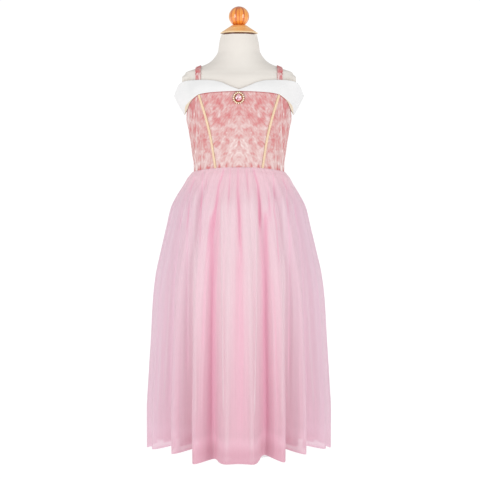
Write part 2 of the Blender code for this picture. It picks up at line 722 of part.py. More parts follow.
def build():
    for old in list(bpy.data.objects):
        bpy.data.objects.remove(old)
    velvet = material("velvet", (232, 188, 186), 0.75)
    gold = material("gold_trim", (214, 176, 120), 0.35, 0.6)
    satin = material("white_satin", (242, 241, 241), 0.55)
    tulle = material("pink_tulle", (239, 200, 213), 0.8)
    lining = material("pink_lining", (233, 185, 201), 0.7)
    crystal = material("pink_crystal", (222, 130, 150), 0.05)
    jersey = material("cream_jersey", (239, 234, 228), 0.9)
    pale_wood = material("pale_wood", (242, 191, 135), 0.45)
    dark_wood = material("varnished_wood", (238, 164, 87), 0.25)
    metal = material("stand_metal", (228, 228, 230), 0.35, 0.8)
    dress, form = add_group("dress"), add_group("dress_form")
    add_bodice(velvet, dress)
    add_trims(gold, dress)
    add_collar(satin, dress)
    add_straps(velvet, dress)
    add_skirts(tulle, lining, dress)
    add_brooch(gold, crystal, dress)
    add_form(jersey, form)
    add_cap_and_knob(pale_wood, dark_wood, form)
    add_stand(metal, form)


build()
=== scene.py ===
"""The looks of a princess costume dress on a limbless child's dress form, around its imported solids.

Metres, +Z up, the front towards -Y. Angles go round the Z axis from the centre front towards the wearer's
left (+X). The shells follow the solids' forms at a finer step, with creases, gathers and sewing added.
"""

import math

import bpy
import numpy as np
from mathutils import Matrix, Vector


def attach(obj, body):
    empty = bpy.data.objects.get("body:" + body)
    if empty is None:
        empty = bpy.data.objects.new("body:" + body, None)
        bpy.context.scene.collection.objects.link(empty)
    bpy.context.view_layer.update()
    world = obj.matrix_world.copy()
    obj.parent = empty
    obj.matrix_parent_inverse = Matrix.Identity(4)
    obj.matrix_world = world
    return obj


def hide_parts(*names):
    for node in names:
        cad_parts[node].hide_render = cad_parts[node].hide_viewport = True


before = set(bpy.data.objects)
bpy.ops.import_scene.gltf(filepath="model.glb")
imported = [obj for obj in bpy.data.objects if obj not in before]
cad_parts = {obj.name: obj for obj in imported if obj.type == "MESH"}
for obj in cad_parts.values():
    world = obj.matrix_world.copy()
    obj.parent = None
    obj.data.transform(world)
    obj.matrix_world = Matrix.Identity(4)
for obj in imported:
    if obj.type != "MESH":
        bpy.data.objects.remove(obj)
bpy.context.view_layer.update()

# Sizes shared with the solids
CLOTH_GAP = 0.0016
WAIST_GAP = 0.0010
STRAP_GAP = 0.0008
SEAM_GAP = 0.0003
TRIM_GAP = 0.0005
VELVET = 0.0012
TULLE = 0.0012
LINING = 0.0012
TRIM_WIDTH = 0.0050
TRIM_THICK = 0.0012
COLLAR_OUT = 0.0033
COLLAR_EDGE = 0.0015
COLLAR_CROWN = 0.0016
COLLAR_FULL_HEIGHT = 0.030
COLLAR_FACING = 0.010
SIDE = math.radians(90)
WAIST_FRONT_Z = 0.6535
WAIST_SIDE_Z = 0.6440
WAIST_FLAT = math.radians(15)
MID_BODICE_Z = 0.7500
HEM_Z = 0.0050
HEM_HALF_WIDTH = 0.2139
HEM_DEPTH = 0.2000
FOLD_GROWTH = 0.8
GATHERS = 36
GATHER_DEPTH = 0.0042
GATHER_FULL_AT = 0.12
TUCK = 0.0016
UNDERSKIRT_HEM_RISE = 0.014
UNDERSKIRT_INSET = 0.028
UNDERSKIRT_FOLDS = 0.5
ARM_PLATE_X = 0.1295
ARM_STUB = 0.014
ARM_STUB_FACING = (math.radians(71), math.radians(81))
ARM_STUB_BOTTOM = (0.808, 0.826)
ARM_STUB_TOP = (0.854, 0.8690)
SHOULDER_Z = 0.8698
NECK_BASE_Z = 0.8937
FORM_BOTTOM_Z = 0.5000
NECK_TOP_Z = 0.9560
STRAP_X = 0.0927
STRAP_WIDTH = 0.0128
STRAP_RUCHES = 13
STRAP_FLAT = 0.0016
STRAP_FULL = 0.0006
STRAP_RUCHE = 0.0010
CAP_BOTTOM_Z = 0.9563
CAP_RIM_Z = 0.9598
CAP_TOP_Z = 0.9791
CAP_TOP_RADIUS = 0.0170
CAP_RIM_RADIUS = 0.0431
CAP_FOOT_RADIUS = 0.0352
KNOB_RADIUS = 0.0233
KNOB_Z = 0.9990
BROOCH_X = -0.0009
BROOCH_Z = 0.8090
BROOCH_GAP = 0.0005
BROOCH_HALF_WIDTH = 0.0137
BROOCH_HALF_HEIGHT = 0.0143
BROOCH_POINT = 0.03
BROOCH_BEADS = 17
STONE_HALF_WIDTH = 0.0074
STONE_HALF_HEIGHT = 0.0080
STONE_POINT = 0.30


class Table:
    """Rows of numbers under named columns, read along smooth curves at any value of the first column."""

    def __init__(self, columns, rows):
        self.values = dict(zip(columns, np.array(rows, float).T))
        self.knots = self.values[columns[0]]

    def at(self, column, where):
        return curve_through(self.knots, self.values[column], where)


def curve_through(knots, values, where):
    """A smooth curve through (knots, values) that turns only at its points, read at where."""
    steps = np.diff(knots)
    slopes = np.diff(values) / steps
    product = slopes[:-1] * slopes[1:]
    total = slopes[:-1] + slopes[1:]
    tangents = np.concatenate([slopes[:1], np.zeros(len(slopes) - 1), slopes[-1:]])
    tangents[1:-1] = np.where(product > 0, 2 * product / np.where(product > 0, total, 1), 0)
    where = np.clip(where, knots[0], knots[-1])
    cell = np.clip(np.searchsorted(knots, where, side="right") - 1, 0, len(steps) - 1)
    step = steps[cell]
    t = (where - knots[cell]) / step
    rise = values[cell + 1] - values[cell]
    start, end = tangents[cell] * step, tangents[cell + 1] * step
    return values[cell] + t * (start + t * (3 * rise - 2 * start - end + t * (start + end - 2 * rise)))


def smoothstep(low, high, value):
    t = np.clip((value - low) / (high - low), 0, 1)
    return t * t * (3 - 2 * t)


def smooth_noise(u, v, seed):
    """Noise from -1 to 1, with a bump or a hollow to about each unit of u and v."""
    size = 89
    lattice = np.random.default_rng(seed).uniform(-1, 1, (size, size))
    u, v = np.broadcast_arrays(u, v)
    i, j = np.floor(u).astype(int), np.floor(v).astype(int)
    s, t = smoothstep(0, 1, u - i), smoothstep(0, 1, v - j)
    near = lattice[i % size, j % size] * (1 - s) + lattice[(i + 1) % size, j % size] * s
    far = lattice[i % size, (j + 1) % size] * (1 - s) + lattice[(i + 1) % size, (j + 1) % size] * s
    return near * (1 - t) + far * t


# The form's level sections, from the bottom of the torso to the top of the neck
FORM = Table(
    ("z", "half_width", "front", "back", "squareness"),
    (
        (0.5000, 0.1000, 0.0730, 0.0740, 2.2),
        (0.5060, 0.1085, 0.0805, 0.0810, 2.2),
        (0.5300, 0.1130, 0.0855, 0.0865, 2.2),
        (0.5700, 0.1125, 0.0880, 0.0880, 2.2),
        (0.6200, 0.1040, 0.0865, 0.0755, 2.3),
        (0.6500, 0.1009, 0.0824, 0.0680, 2.35),
        (0.6646, 0.1012, 0.0818, 0.0678, 2.4),
        (0.6850, 0.1047, 0.0812, 0.0690, 2.4),
        (0.7060, 0.1074, 0.0808, 0.0705, 2.4),
        (0.7405, 0.1130, 0.0802, 0.0732, 2.4),
        (0.7680, 0.1175, 0.0798, 0.0748, 2.4),
        (0.8000, 0.1180, 0.0790, 0.0755, 2.4),
        (0.8300, 0.1190, 0.0772, 0.0765, 2.4),
        (0.8500, 0.1215, 0.0735, 0.0755, 2.4),
        (0.8600, 0.1235, 0.0695, 0.0725, 2.4),
        (0.8698, 0.1230, 0.0625, 0.0665, 2.4),
        (0.8800, 0.0985, 0.0565, 0.0605, 2.3),
        (0.8937, 0.0682, 0.0510, 0.0550, 2.2),
        (0.9060, 0.0556, 0.0475, 0.0505, 2.1),
        (0.9190, 0.0482, 0.0450, 0.0470, 2.0),
        (0.9370, 0.0455, 0.0435, 0.0445, 2.0),
        (0.9560, 0.0414, 0.0414, 0.0414, 2.0),
    ),
)

PRINCESS_SEAM = Table(
    ("z", "x"),
    (
        (0.6400, 0.0490),
        (0.6560, 0.0516),
        (0.7140, 0.0604),
        (0.7520, 0.0687),
        (0.8180, 0.0880),
        (0.8450, 0.0962),
    ),
)

BODICE_TOP = Table(
    ("angle_deg", "z"),
    (
        (0, 0.8262),
        (9, 0.8285),
        (20, 0.8348),
        (32, 0.8425),
        (58, 0.8455),
        (66, 0.8290),
        (76, 0.7930),
        (90, 0.7710),
        (104, 0.7900),
        (116, 0.8220),
        (126, 0.8400),
        (180, 0.8410),
    ),
)

COLLAR = Table(
    ("angle_deg", "fold_z", "fold_off_mm", "edge_z", "edge_off_mm"),
    (
        (0, 0.8288, 0.0, 0.8243, 0.0),
        (3, 0.8300, 0.0, 0.8243, 0.0),
        (8, 0.8326, 0.0, 0.8242, 0.0),
        (18, 0.8385, 0.0, 0.8238, 0.0),
        (28, 0.8450, 0.0, 0.8232, 0.0),
        (42, 0.8498, 0.0, 0.8218, 0.0),
        (55, 0.8510, 0.4, 0.8182, 0.1),
        (63, 0.8508, 2.0, 0.8100, 0.3),
        (70, 0.8500, 6.8, 0.8025, 0.8),
        (77, 0.8440, 15.0, 0.7930, 1.6),
        (84, 0.8290, 21.5, 0.7800, 2.6),
        (90, 0.8187, 26.0, 0.7742, 3.2),
        (96, 0.8270, 21.5, 0.7790, 2.6),
        (104, 0.8420, 13.5, 0.7870, 1.4),
        (114, 0.8480, 4.0, 0.7960, 0.4),
        (130, 0.8475, 0.2, 0.8050, 0.0),
        (180, 0.8450, 0.0, 0.8080, 0.0),
    ),
)

SKIRT_SIDE = Table(
    ("z", "half_width"),
    (
        (0.0040, 0.2139),
        (0.0918, 0.2136),
        (0.1609, 0.2095),
        (0.2299, 0.2050),
        (0.2989, 0.2002),
        (0.3541, 0.1956),
        (0.4093, 0.1880),
        (0.4645, 0.1750),
        (0.5197, 0.1612),
        (0.5611, 0.1508),
        (0.5887, 0.1376),
        (0.6163, 0.1222),
        (0.6301, 0.1150),
        (0.6400, 0.1070),
        (0.6440, 0.1045),
    ),
)

# The skirt's folds: crests and troughs in turn
SKIRT_FOLDS = (
    ("waist_deg", "hem_deg", "reach", "lift_mm"),
    (
        (0.0, 0.5, 0.965, 0.5),
        (8.5, 9.0, 1.000, 0.0),
        (20.5, 20.0, 0.805, 13.0),
        (30.0, 29.5, 1.000, 1.0),
        (38.5, 36.0, 0.800, 24.0),
        (47.0, 46.5, 0.985, 12.0),
        (56.0, 55.0, 0.840, 25.0),
        (65.0, 67.0, 1.000, 14.0),
        (73.0, 75.0, 0.950, 15.0),
        (80.0, 82.0, 0.990, 7.0),
        (85.5, 87.5, 0.975, 5.0),
        (91.0, 93.0, 1.000, 2.0),
        (100.0, 102.0, 0.900, 8.0),
        (109.0, 110.0, 1.000, 6.0),
        (119.0, 121.0, 0.830, 16.0),
        (129.0, 131.0, 1.000, 4.0),
        (138.0, 141.0, 0.870, 12.0),
        (148.0, 150.0, 0.990, 3.0),
        (159.0, 160.0, 0.810, 15.0),
        (170.0, 170.0, 1.000, 1.0),
        (181.0, 181.0, 0.900, 7.0),
        (192.0, 191.0, 1.000, 1.0),
        (203.0, 201.0, 0.820, 14.0),
        (213.0, 211.0, 0.990, 3.0),
        (222.0, 220.0, 0.880, 10.0),
        (231.0, 230.0, 1.000, 5.0),
        (241.0, 240.0, 0.835, 17.0),
        (251.0, 250.0, 1.000, 6.0),
        (260.0, 259.0, 0.910, 8.0),
        (269.0, 267.5, 1.000, 2.0),
        (274.5, 273.0, 0.975, 5.0),
        (280.0, 278.5, 1.000, 8.0),
        (287.0, 285.0, 0.955, 14.0),
        (295.0, 293.0, 1.000, 13.0),
        (304.0, 305.0, 0.835, 25.0),
        (313.0, 313.5, 0.985, 13.0),
        (321.5, 324.0, 0.800, 24.0),
        (330.0, 330.5, 1.000, -3.0),
        (338.5, 340.0, 0.800, 4.0),
        (351.0, 351.0, 1.000, 0.5),
    ),
)

# The front's long creases: depth (below zero it is a ridge) and half width in mm, then (x, z) down its line
FRONT_CREASES = (
    (2.6, 3.6, ((-0.0345, 0.648), (-0.046, 0.613), (-0.050, 0.577), (-0.0565, 0.543), (-0.061, 0.500))),
    (2.3, 7.0, ((-0.055, 0.560), (-0.0615, 0.500), (-0.0605, 0.350), (-0.061, 0.070))),
    (1.9, 2.8, ((-0.019, 0.652), (-0.0215, 0.619), (-0.0245, 0.555))),
    (2.1, 4.4, ((-0.002, 0.652), (-0.0032, 0.600), (0.0012, 0.543), (0.0026, 0.500), (0.0055, 0.460))),
    (1.2, 12.0, ((0.003, 0.470), (0.004, 0.300), (0.006, 0.080))),
    (1.8, 2.6, ((0.0165, 0.652), (0.018, 0.633), (0.021, 0.590))),
    (2.8, 3.2, ((0.033, 0.648), (0.043, 0.615), (0.046, 0.577), (0.0460, 0.525))),
    (2.4, 7.0, ((0.060, 0.570), (0.0600, 0.500), (0.0610, 0.440), (0.0590, 0.300), (0.061, 0.070))),
    (2.2, 3.0, ((0.078, 0.640), (0.0795, 0.600), (0.079, 0.560), (0.085, 0.520), (0.089, 0.440))),
    (1.4, 2.4, ((-0.0715, 0.640), (-0.0735, 0.612), (-0.0722, 0.585))),
    (2.2, 3.2, ((-0.082, 0.640), (-0.083, 0.619), (-0.085, 0.556), (-0.088, 0.480))),
    (2.0, 3.6, ((-0.101, 0.630), (-0.1080, 0.610), (-0.113, 0.577), (-0.116, 0.500), (-0.115, 0.200))),
    (2.0, 3.6, ((0.098, 0.630), (0.108, 0.605), (0.110, 0.556), (0.1135, 0.500), (0.112, 0.190))),
    (1.4, 2.8, ((0.062, 0.640), (0.066, 0.600), (0.070, 0.540))),
    (1.2, 3.0, ((-0.062, 0.560), (-0.072, 0.440), (-0.080, 0.250))),
    (1.2, 3.0, ((0.072, 0.420), (0.080, 0.300), (0.086, 0.120))),
    (-1.9, 1.9, ((-0.0395, 0.600), (-0.0380, 0.540), (-0.0365, 0.317), (-0.0340, 0.120))),
    (-1.9, 1.9, ((0.0395, 0.560), (0.0385, 0.500), (0.0380, 0.317), (0.0340, 0.120))),
    (-1.4, 7.0, ((-0.026, 0.600), (-0.026, 0.420), (-0.026, 0.000))),
    (-1.4, 7.0, ((0.026, 0.600), (0.026, 0.420), (0.028, 0.000))),
    (-1.6, 5.0, ((-0.097, 0.620), (-0.098, 0.520), (-0.094, 0.100))),
    (-1.6, 5.0, ((0.097, 0.600), (0.099, 0.500), (0.094, 0.100))),
    (1.4, 3.4, ((-0.128, 0.560), (-0.146, 0.400), (-0.158, 0.120))),
    (1.4, 3.4, ((0.124, 0.580), (0.142, 0.440), (0.154, 0.160))),
    (-1.0, 3.0, ((-0.112, 0.600), (-0.150, 0.430), (-0.170, 0.120))),
    (-1.0, 3.0, ((0.114, 0.600), (0.148, 0.430), (0.168, 0.120))),
)

# The sides' and the back's creases, given one by one: where each starts at the waist, its depth in mm and
# half width in degrees, and the shares of the way to the hem between which it shows
OTHER_CREASES = (
    (-99.0, 1.7, 1.5, 0.00, 0.52),
    (-88.0, 1.2, 1.2, 0.02, 0.30),
    (-77.0, 1.6, 1.4, 0.00, 0.45),
    (76.0, 1.6, 1.5, 0.00, 0.42),
    (86.0, 1.3, 1.2, 0.02, 0.27),
    (97.0, 1.8, 1.4, 0.00, 0.45),
    (108.0, 1.3, 1.2, 0.00, 0.22),
    (117.5, 2.6, 1.5, 0.00, 0.60),
    (127.0, -1.2, 1.0, 0.06, 0.70),
    (136.0, 2.0, 1.2, 0.00, 0.35),
    (146.0, 1.4, 1.0, 0.00, 0.20),
    (157.0, 2.8, 1.5, 0.00, 0.58),
    (166.0, -1.3, 0.9, 0.08, 0.85),
    (178.0, 2.3, 1.3, 0.00, 0.40),
    (190.0, 1.5, 1.1, 0.00, 0.17),
    (200.5, 2.7, 1.4, 0.00, 0.63),
    (209.0, -1.1, 1.0, 0.05, 0.60),
    (221.0, 2.0, 1.3, 0.00, 0.38),
    (232.0, 1.4, 1.1, 0.00, 0.21),
    (240.0, 2.5, 1.5, 0.00, 0.55),
    (252.0, 1.6, 1.2, 0.00, 0.30),
)

# The front's main crush marks, mirrored: place across (mm) and z, half width and height (mm), lean
# (degrees) and how much paler (above zero) or darker the nap looks
NAP_MARKS = (
    (32.0, 0.7965, 2.6, 8.0, -38.0, 0.11),
    (43.0, 0.7820, 2.4, 6.0, -20.0, 0.10),
    (43.5, 0.7715, 2.6, 7.0, 8.0, 0.14),
    (22.0, 0.7890, 3.0, 6.0, 30.0, 0.05),
    (9.0, 0.7668, 11.0, 2.2, 0.0, 0.08),
    (0.0, 0.7800, 13.0, 6.0, 0.0, -0.05),
    (49.0, 0.7570, 7.0, 5.0, 0.0, -0.10),
    (33.0, 0.7510, 5.0, 5.0, 0.0, -0.09),
    (19.0, 0.7560, 5.0, 5.0, 40.0, 0.05),
    (63.5, 0.7640, 3.5, 4.0, 0.0, 0.10),
    (57.0, 0.7410, 5.0, 4.0, 0.0, 0.12),
    (42.0, 0.7370, 4.5, 8.0, 0.0, 0.10),
    (29.0, 0.7275, 5.0, 4.0, 30.0, -0.13),
    (0.0, 0.7210, 4.0, 4.0, 0.0, -0.06),
    (1.5, 0.7090, 3.0, 5.5, 10.0, -0.12),
    (13.0, 0.7170, 2.2, 9.0, -28.0, 0.10),
    (50.0, 0.7170, 8.0, 8.0, 0.0, 0.06),
    (22.0, 0.6960, 4.0, 5.0, 45.0, -0.06),
    (36.0, 0.7000, 3.0, 6.0, 20.0, -0.06),
    (105.0, 0.7370, 2.0, 16.0, 6.0, 0.14),
    (113.0, 0.7560, 1.6, 13.0, 6.0, 0.12),
    (94.0, 0.6900, 2.2, 20.0, 4.0, 0.14),
    (78.0, 0.7170, 8.0, 17.0, 0.0, -0.08),
    (72.0, 0.7450, 6.0, 10.0, 0.0, -0.05),
    (96.0, 0.7740, 6.0, 12.0, 0.0, -0.05),
    (106.0, 0.7930, 7.0, 9.0, 0.0, -0.13),
    (80.0, 0.7930, 5.0, 7.0, -20.0, 0.04),
    (66.0, 0.6800, 8.0, 10.0, 0.0, 0.07),
)

# Small puckers of the velvet just above the waist seam: where, how high and how wide
PUCKERS = (
    (-74.0, 0.011, 4.0),
    (-60.0, 0.013, 4.6),
    (-46.5, 0.017, 3.4),
    (-37.5, 0.010, 2.6),
    (-28.8, 0.013, 3.0),
    (-18.4, 0.024, 2.2),
    (-9.5, 0.008, 2.0),
    (0.0, 0.012, 5.6),
    (9.5, 0.008, 2.0),
    (18.4, 0.023, 2.2),
    (28.8, 0.012, 3.0),
    (38.0, 0.010, 2.6),
    (45.5, 0.016, 3.4),
    (60.5, 0.013, 4.6),
    (75.0, 0.011, 4.0),
    (98.0, 0.012, 4.5),
    (117.0, 0.015, 4.0),
    (133.0, 0.010, 4.0),
    (151.0, 0.016, 3.6),
    (169.0, 0.012, 4.2),
    (186.0, 0.017, 3.4),
    (203.0, 0.011, 4.2),
    (221.0, 0.015, 3.8),
    (240.0, 0.012, 4.4),
    (259.0, 0.014, 4.0),
)


def section_radius(angle, half_width, front, back, squareness):
    """Distance from the axis to a rounded section, deeper or shallower behind than in front."""
    depth = np.where(np.cos(angle) > 0, front, back)
    across = (np.abs(np.sin(angle)) / half_width) ** squareness
    along = (np.abs(np.cos(angle)) / depth) ** squareness
    return (across + along) ** (-1 / squareness)


def chest_radius(angle, z):
    """The form's section without the stubs of its arms."""
    sizes = [FORM.at(column, z) for column in ("half_width", "front", "back", "squareness")]
    return section_radius(angle, *sizes)


def form_radius(angle, z):
    """The form's section with the stubs of its arms, cut flat at the arm plates."""
    sideways = np.abs(np.sin(angle))
    facing = smoothstep(*np.sin(ARM_STUB_FACING), sideways)
    height = smoothstep(*ARM_STUB_BOTTOM, z) * (1 - smoothstep(*ARM_STUB_TOP, z))
    radius = chest_radius(angle, z) + ARM_STUB * facing * height
    return np.minimum(radius, ARM_PLATE_X / np.maximum(sideways, 1e-6))


def points_at(angle, radius, z):
    angle, radius, z = np.broadcast_arrays(angle, radius, z)
    return np.stack([radius * np.sin(angle), -radius * np.cos(angle), z], axis=-1)


def from_front(angle):
    """The same angle as its distance from the centre front, 0 to 180 degrees, in radians."""
    return np.abs((angle + math.pi) % (2 * math.pi) - math.pi)


def waist_z(angle):
    drop = smoothstep(WAIST_FLAT, SIDE, from_front(angle))
    return WAIST_FRONT_Z - (WAIST_FRONT_Z - WAIST_SIDE_Z) * drop


def bodice_top_z(angle):
    return BODICE_TOP.at("z", np.degrees(from_front(angle)))


def collar_edge_z(angle):
    return COLLAR.at("edge_z", np.degrees(from_front(angle)))


def princess_angle(z):
    """The angle at which the princess seam crosses a height."""
    x = PRINCESS_SEAM.at("x", z)
    square = FORM.at("squareness", z)
    depth = FORM.at("front", z) * (1 - (x / FORM.at("half_width", z)) ** square) ** (1 / square)
    return np.arctan2(x, depth)


def colour(red, green, blue):
    """A colour as a photograph stores it, 0 to 255, in the linear values that a shader takes."""
    return (*(((c / 255 + 0.055) / 1.055) ** 2.4 for c in (red, green, blue)), 1.0)


class Shade:
    """A material's node tree, built by short calls; each returns the new node's output."""

    def __init__(self, name):
        self.material = bpy.data.materials.new(name)
        self.material.use_nodes = True
        self.tree = self.material.node_tree
        self.shader = self.tree.nodes["Principled BSDF"]

    def put(self, socket, value):
        if isinstance(value, bpy.types.NodeSocket):
            self.tree.links.new(value, socket)
        else:
            socket.default_value = value

    def finish(self, **inputs):
        """Sets the main shader's inputs; a name's underscores stand for spaces."""
        for name, value in inputs.items():
            self.put(self.shader.inputs[name.replace("_", " ")], value)
        return self.material

    def add(self, kind, inputs, output=0, **settings):
        node = self.tree.nodes.new("ShaderNode" + kind)
        for name, value in settings.items():
            setattr(node, name, value)
        for name, value in inputs.items():
            self.put(node.inputs[name], value)
        return node.outputs[output]

    def place(self):
        return self.add("TexCoord", {}, "Object")

    def value(self, name):
        """A value that the mesh holds at each point."""
        return self.add("Attribute", {}, "Fac", attribute_name=name)

    def math(self, operation, first, second=0.5, clamp=False):
        return self.add("Math", {0: first, 1: second}, operation=operation, use_clamp=clamp)

    def stretch(self, vector, scale):
        return self.add("VectorMath", {0: vector, 1: scale}, operation="MULTIPLY")

    def noise(self, vector, scale, detail=2.0, roughness=0.5, distortion=0.0):
        return self.add(
            "TexNoise",
            {
                "Vector": vector,
                "Scale": scale,
                "Detail": detail,
                "Roughness": roughness,
                "Distortion": distortion,
            },
            "Fac",
        )

    def ramp(self, factor, *stops):
        """A colour ramp of (place, colour) stops."""
        output = self.add("ValToRGB", {"Fac": factor}, "Color")
        elements = output.node.color_ramp.elements
        while len(elements) < len(stops):
            elements.new(1.0)
        for element, (place, tint) in zip(elements, stops):
            element.position = place
            element.color = tint
        return output

    def mix(self, factor, first, second):
        output = self.add("Mix", {}, 2, data_type="RGBA")
        for socket, value in zip((0, 6, 7), (factor, first, second)):
            self.put(output.node.inputs[socket], value)
        return output

    def sum(self, *terms, base=0.0):
        """base plus each (value, weight)."""
        total = base
        for value, weight in terms:
            total = self.math("ADD", self.math("MULTIPLY", value, weight), total)
        return total

    def veins(self, noise, width):
        """1 along the thin curved lines where a noise passes its middle, 0 a width away."""
        off = self.math("ABSOLUTE", self.math("SUBTRACT", noise, 0.5))
        return self.range(off, 0.0, width, 1.0, 0.0)

    def range(self, value, low, high, to_low=0.0, to_high=1.0):
        return self.add(
            "MapRange",
            {"Value": value, "From Min": low, "From Max": high, "To Min": to_low, "To Max": to_high},
            interpolation_type="SMOOTHSTEP",
        )

    def split(self, vector):
        node = self.tree.nodes.new("ShaderNodeSeparateXYZ")
        self.put(node.inputs[0], vector)
        return node.outputs

    def join(self, x, y, z):
        return self.add("CombineXYZ", {0: x, 1: y, 2: z})

    def bump(self, height, distance, strength=1.0, over=None):
        inputs = {"Height": height, "Distance": distance, "Strength": strength}
        if over is not None:
            inputs["Normal"] = over
        return self.add("Bump", inputs)


def velvet_look():
    """Crushed velvet: patches of nap that lie in different ways, streaked at the sides, paler low down, with
    painted shade in the puckers and between the straps' ruches, painted light on the ruches' crests, and a
    painted shadow under the collar's edge.
    """
    look = Shade("crushed_velvet")
    x, y, z = look.split(look.place())
    across = look.math("ABSOLUTE", x)
    mirrored = look.join(across, y, z)
    leaning = look.join(look.math("ADD", across, look.math("MULTIPLY", z, 0.7)), y, z)
    crush = look.noise(look.stretch(mirrored, (1.0, 1.0, 0.8)), 74.0, 2.5, 0.5, 0.5)
    dabs = look.noise(look.stretch(leaning, (1.0, 1.0, 0.5)), 250.0, 2.0, 0.5, 0.4)
    veins = look.veins(look.noise(look.stretch(leaning, (1.0, 1.0, 0.6)), 70.0, 2.0, 0.5, 0.6), 0.03)
    streaks = look.noise(look.stretch(mirrored, (1.0, 1.0, 0.12)), 190.0, 3.0, 0.6, 0.6)
    pulls = look.veins(look.noise(look.stretch(mirrored, (1.0, 1.0, 0.10)), 120.0, 3.0, 0.5, 0.5), 0.040)
    sidewards = look.range(across, 0.066, 0.104)
    patches = look.sum((crush, 0.58), (dabs, 0.48), (veins, 0.06), base=0.005)
    pulled = look.sum((streaks, 1.15), (crush, 0.42), (pulls, 0.38), base=-0.285)
    mixed = look.mix(look.math("MULTIPLY", sidewards, 0.85), patches, pulled)
    dip = look.math("MULTIPLY", look.math("POWER", look.math("DIVIDE", across, 0.057), 2.0), 0.030)
    curved = look.math("ADD", z, look.math("MINIMUM", dip, 0.05))
    low = look.sum((look.range(curved, 0.785, 0.745), 0.045), (look.range(curved, 0.745, 0.690), 0.065))
    # This value paints shade into the waist puckers and the hollows between the straps' ruches, and light
    # onto the ruches' crests
    tone = look.sum((mixed, 1.0), (low, 1.0), (look.value("nap"), 1.0), (look.value("pucker_shade_and_light"), -0.26))
    tint = look.ramp(
        tone,
        (0.22, colour(200, 98, 104)),
        (0.38, colour(209, 126, 128)),
        (0.51, colour(214, 154, 153)),
        (0.64, colour(221, 186, 184)),
        (0.86, colour(240, 223, 220)),
    )
    # painted shadow: the velvet turns dark red in a thin line just under the collar's lower edge
    tint = look.mix(look.math("MULTIPLY", look.value("collar_edge_shadow"), 0.85), tint, colour(172, 58, 68))
    pile = look.noise(look.place(), 1500.0, 2.0)
    normal = look.bump(pile, 0.0003, 0.3, look.bump(mixed, 0.0018, 0.55))
    return look.finish(
        Base_Color=tint,
        Roughness=look.range(tone, 0.35, 0.75, 0.85, 0.55),
        Sheen_Weight=0.14,
        Sheen_Roughness=0.35,
        Sheen_Tint=colour(255, 232, 230),
        Specular_IOR_Level=0.22,
        Normal=normal,
    )


def trim_look():
    """Woven metallic braid, with painted shade in the hollows of its weave."""
    look = Shade("gold_braid")
    weave = look.value("weave")
    speck = look.noise(look.place(), 900.0, 2.0)
    # painted shade: the lower the weave, the darker the braid
    tint = look.ramp(
        look.math("ADD", look.math("MULTIPLY", weave, 0.75), look.math("MULTIPLY", speck, 0.25)),
        (0.15, colour(206, 164, 122)),
        (0.50, colour(232, 206, 172)),
        (0.85, colour(246, 228, 202)),
    )
    return look.finish(
        Base_Color=tint,
        Metallic=0.2,
        Roughness=look.range(weave, 0.0, 1.0, 0.55, 0.36),
        Normal=look.bump(look.noise(look.stretch(look.place(), (1, 1, 3)), 1100.0), 0.0002, 0.5),
    )


def collar_look():
    """Matt white satin, with a beige underside."""
    look = Shade("white_satin")
    place = look.place()
    cloud = look.noise(place, 22.0, 2.0)
    white = look.ramp(cloud, (0.3, colour(226, 226, 226)), (0.7, colour(233, 232, 232)))
    tint = look.mix(look.value("under"), white, colour(226, 208, 184))
    threads = look.noise(look.stretch(place, (1, 1, 4)), 700.0, 2.0)
    soft = look.noise(look.stretch(place, (1.0, 1.0, 2.2)), 34.0, 2.0)
    return look.finish(
        Base_Color=tint,
        Roughness=look.range(cloud, 0.2, 0.8, 0.52, 0.62),
        Sheen_Weight=0.1,
        Sheen_Roughness=0.4,
        Specular_IOR_Level=0.35,
        Normal=look.bump(threads, 0.0002, 0.4, look.bump(soft, 0.0015, 0.35)),
    )


def cloth_place(look):
    """The mesh's own cloth coordinates: metres round the hem, metres down."""
    return look.join(look.value("cloth_u"), look.value("cloth_v"), 0.0)


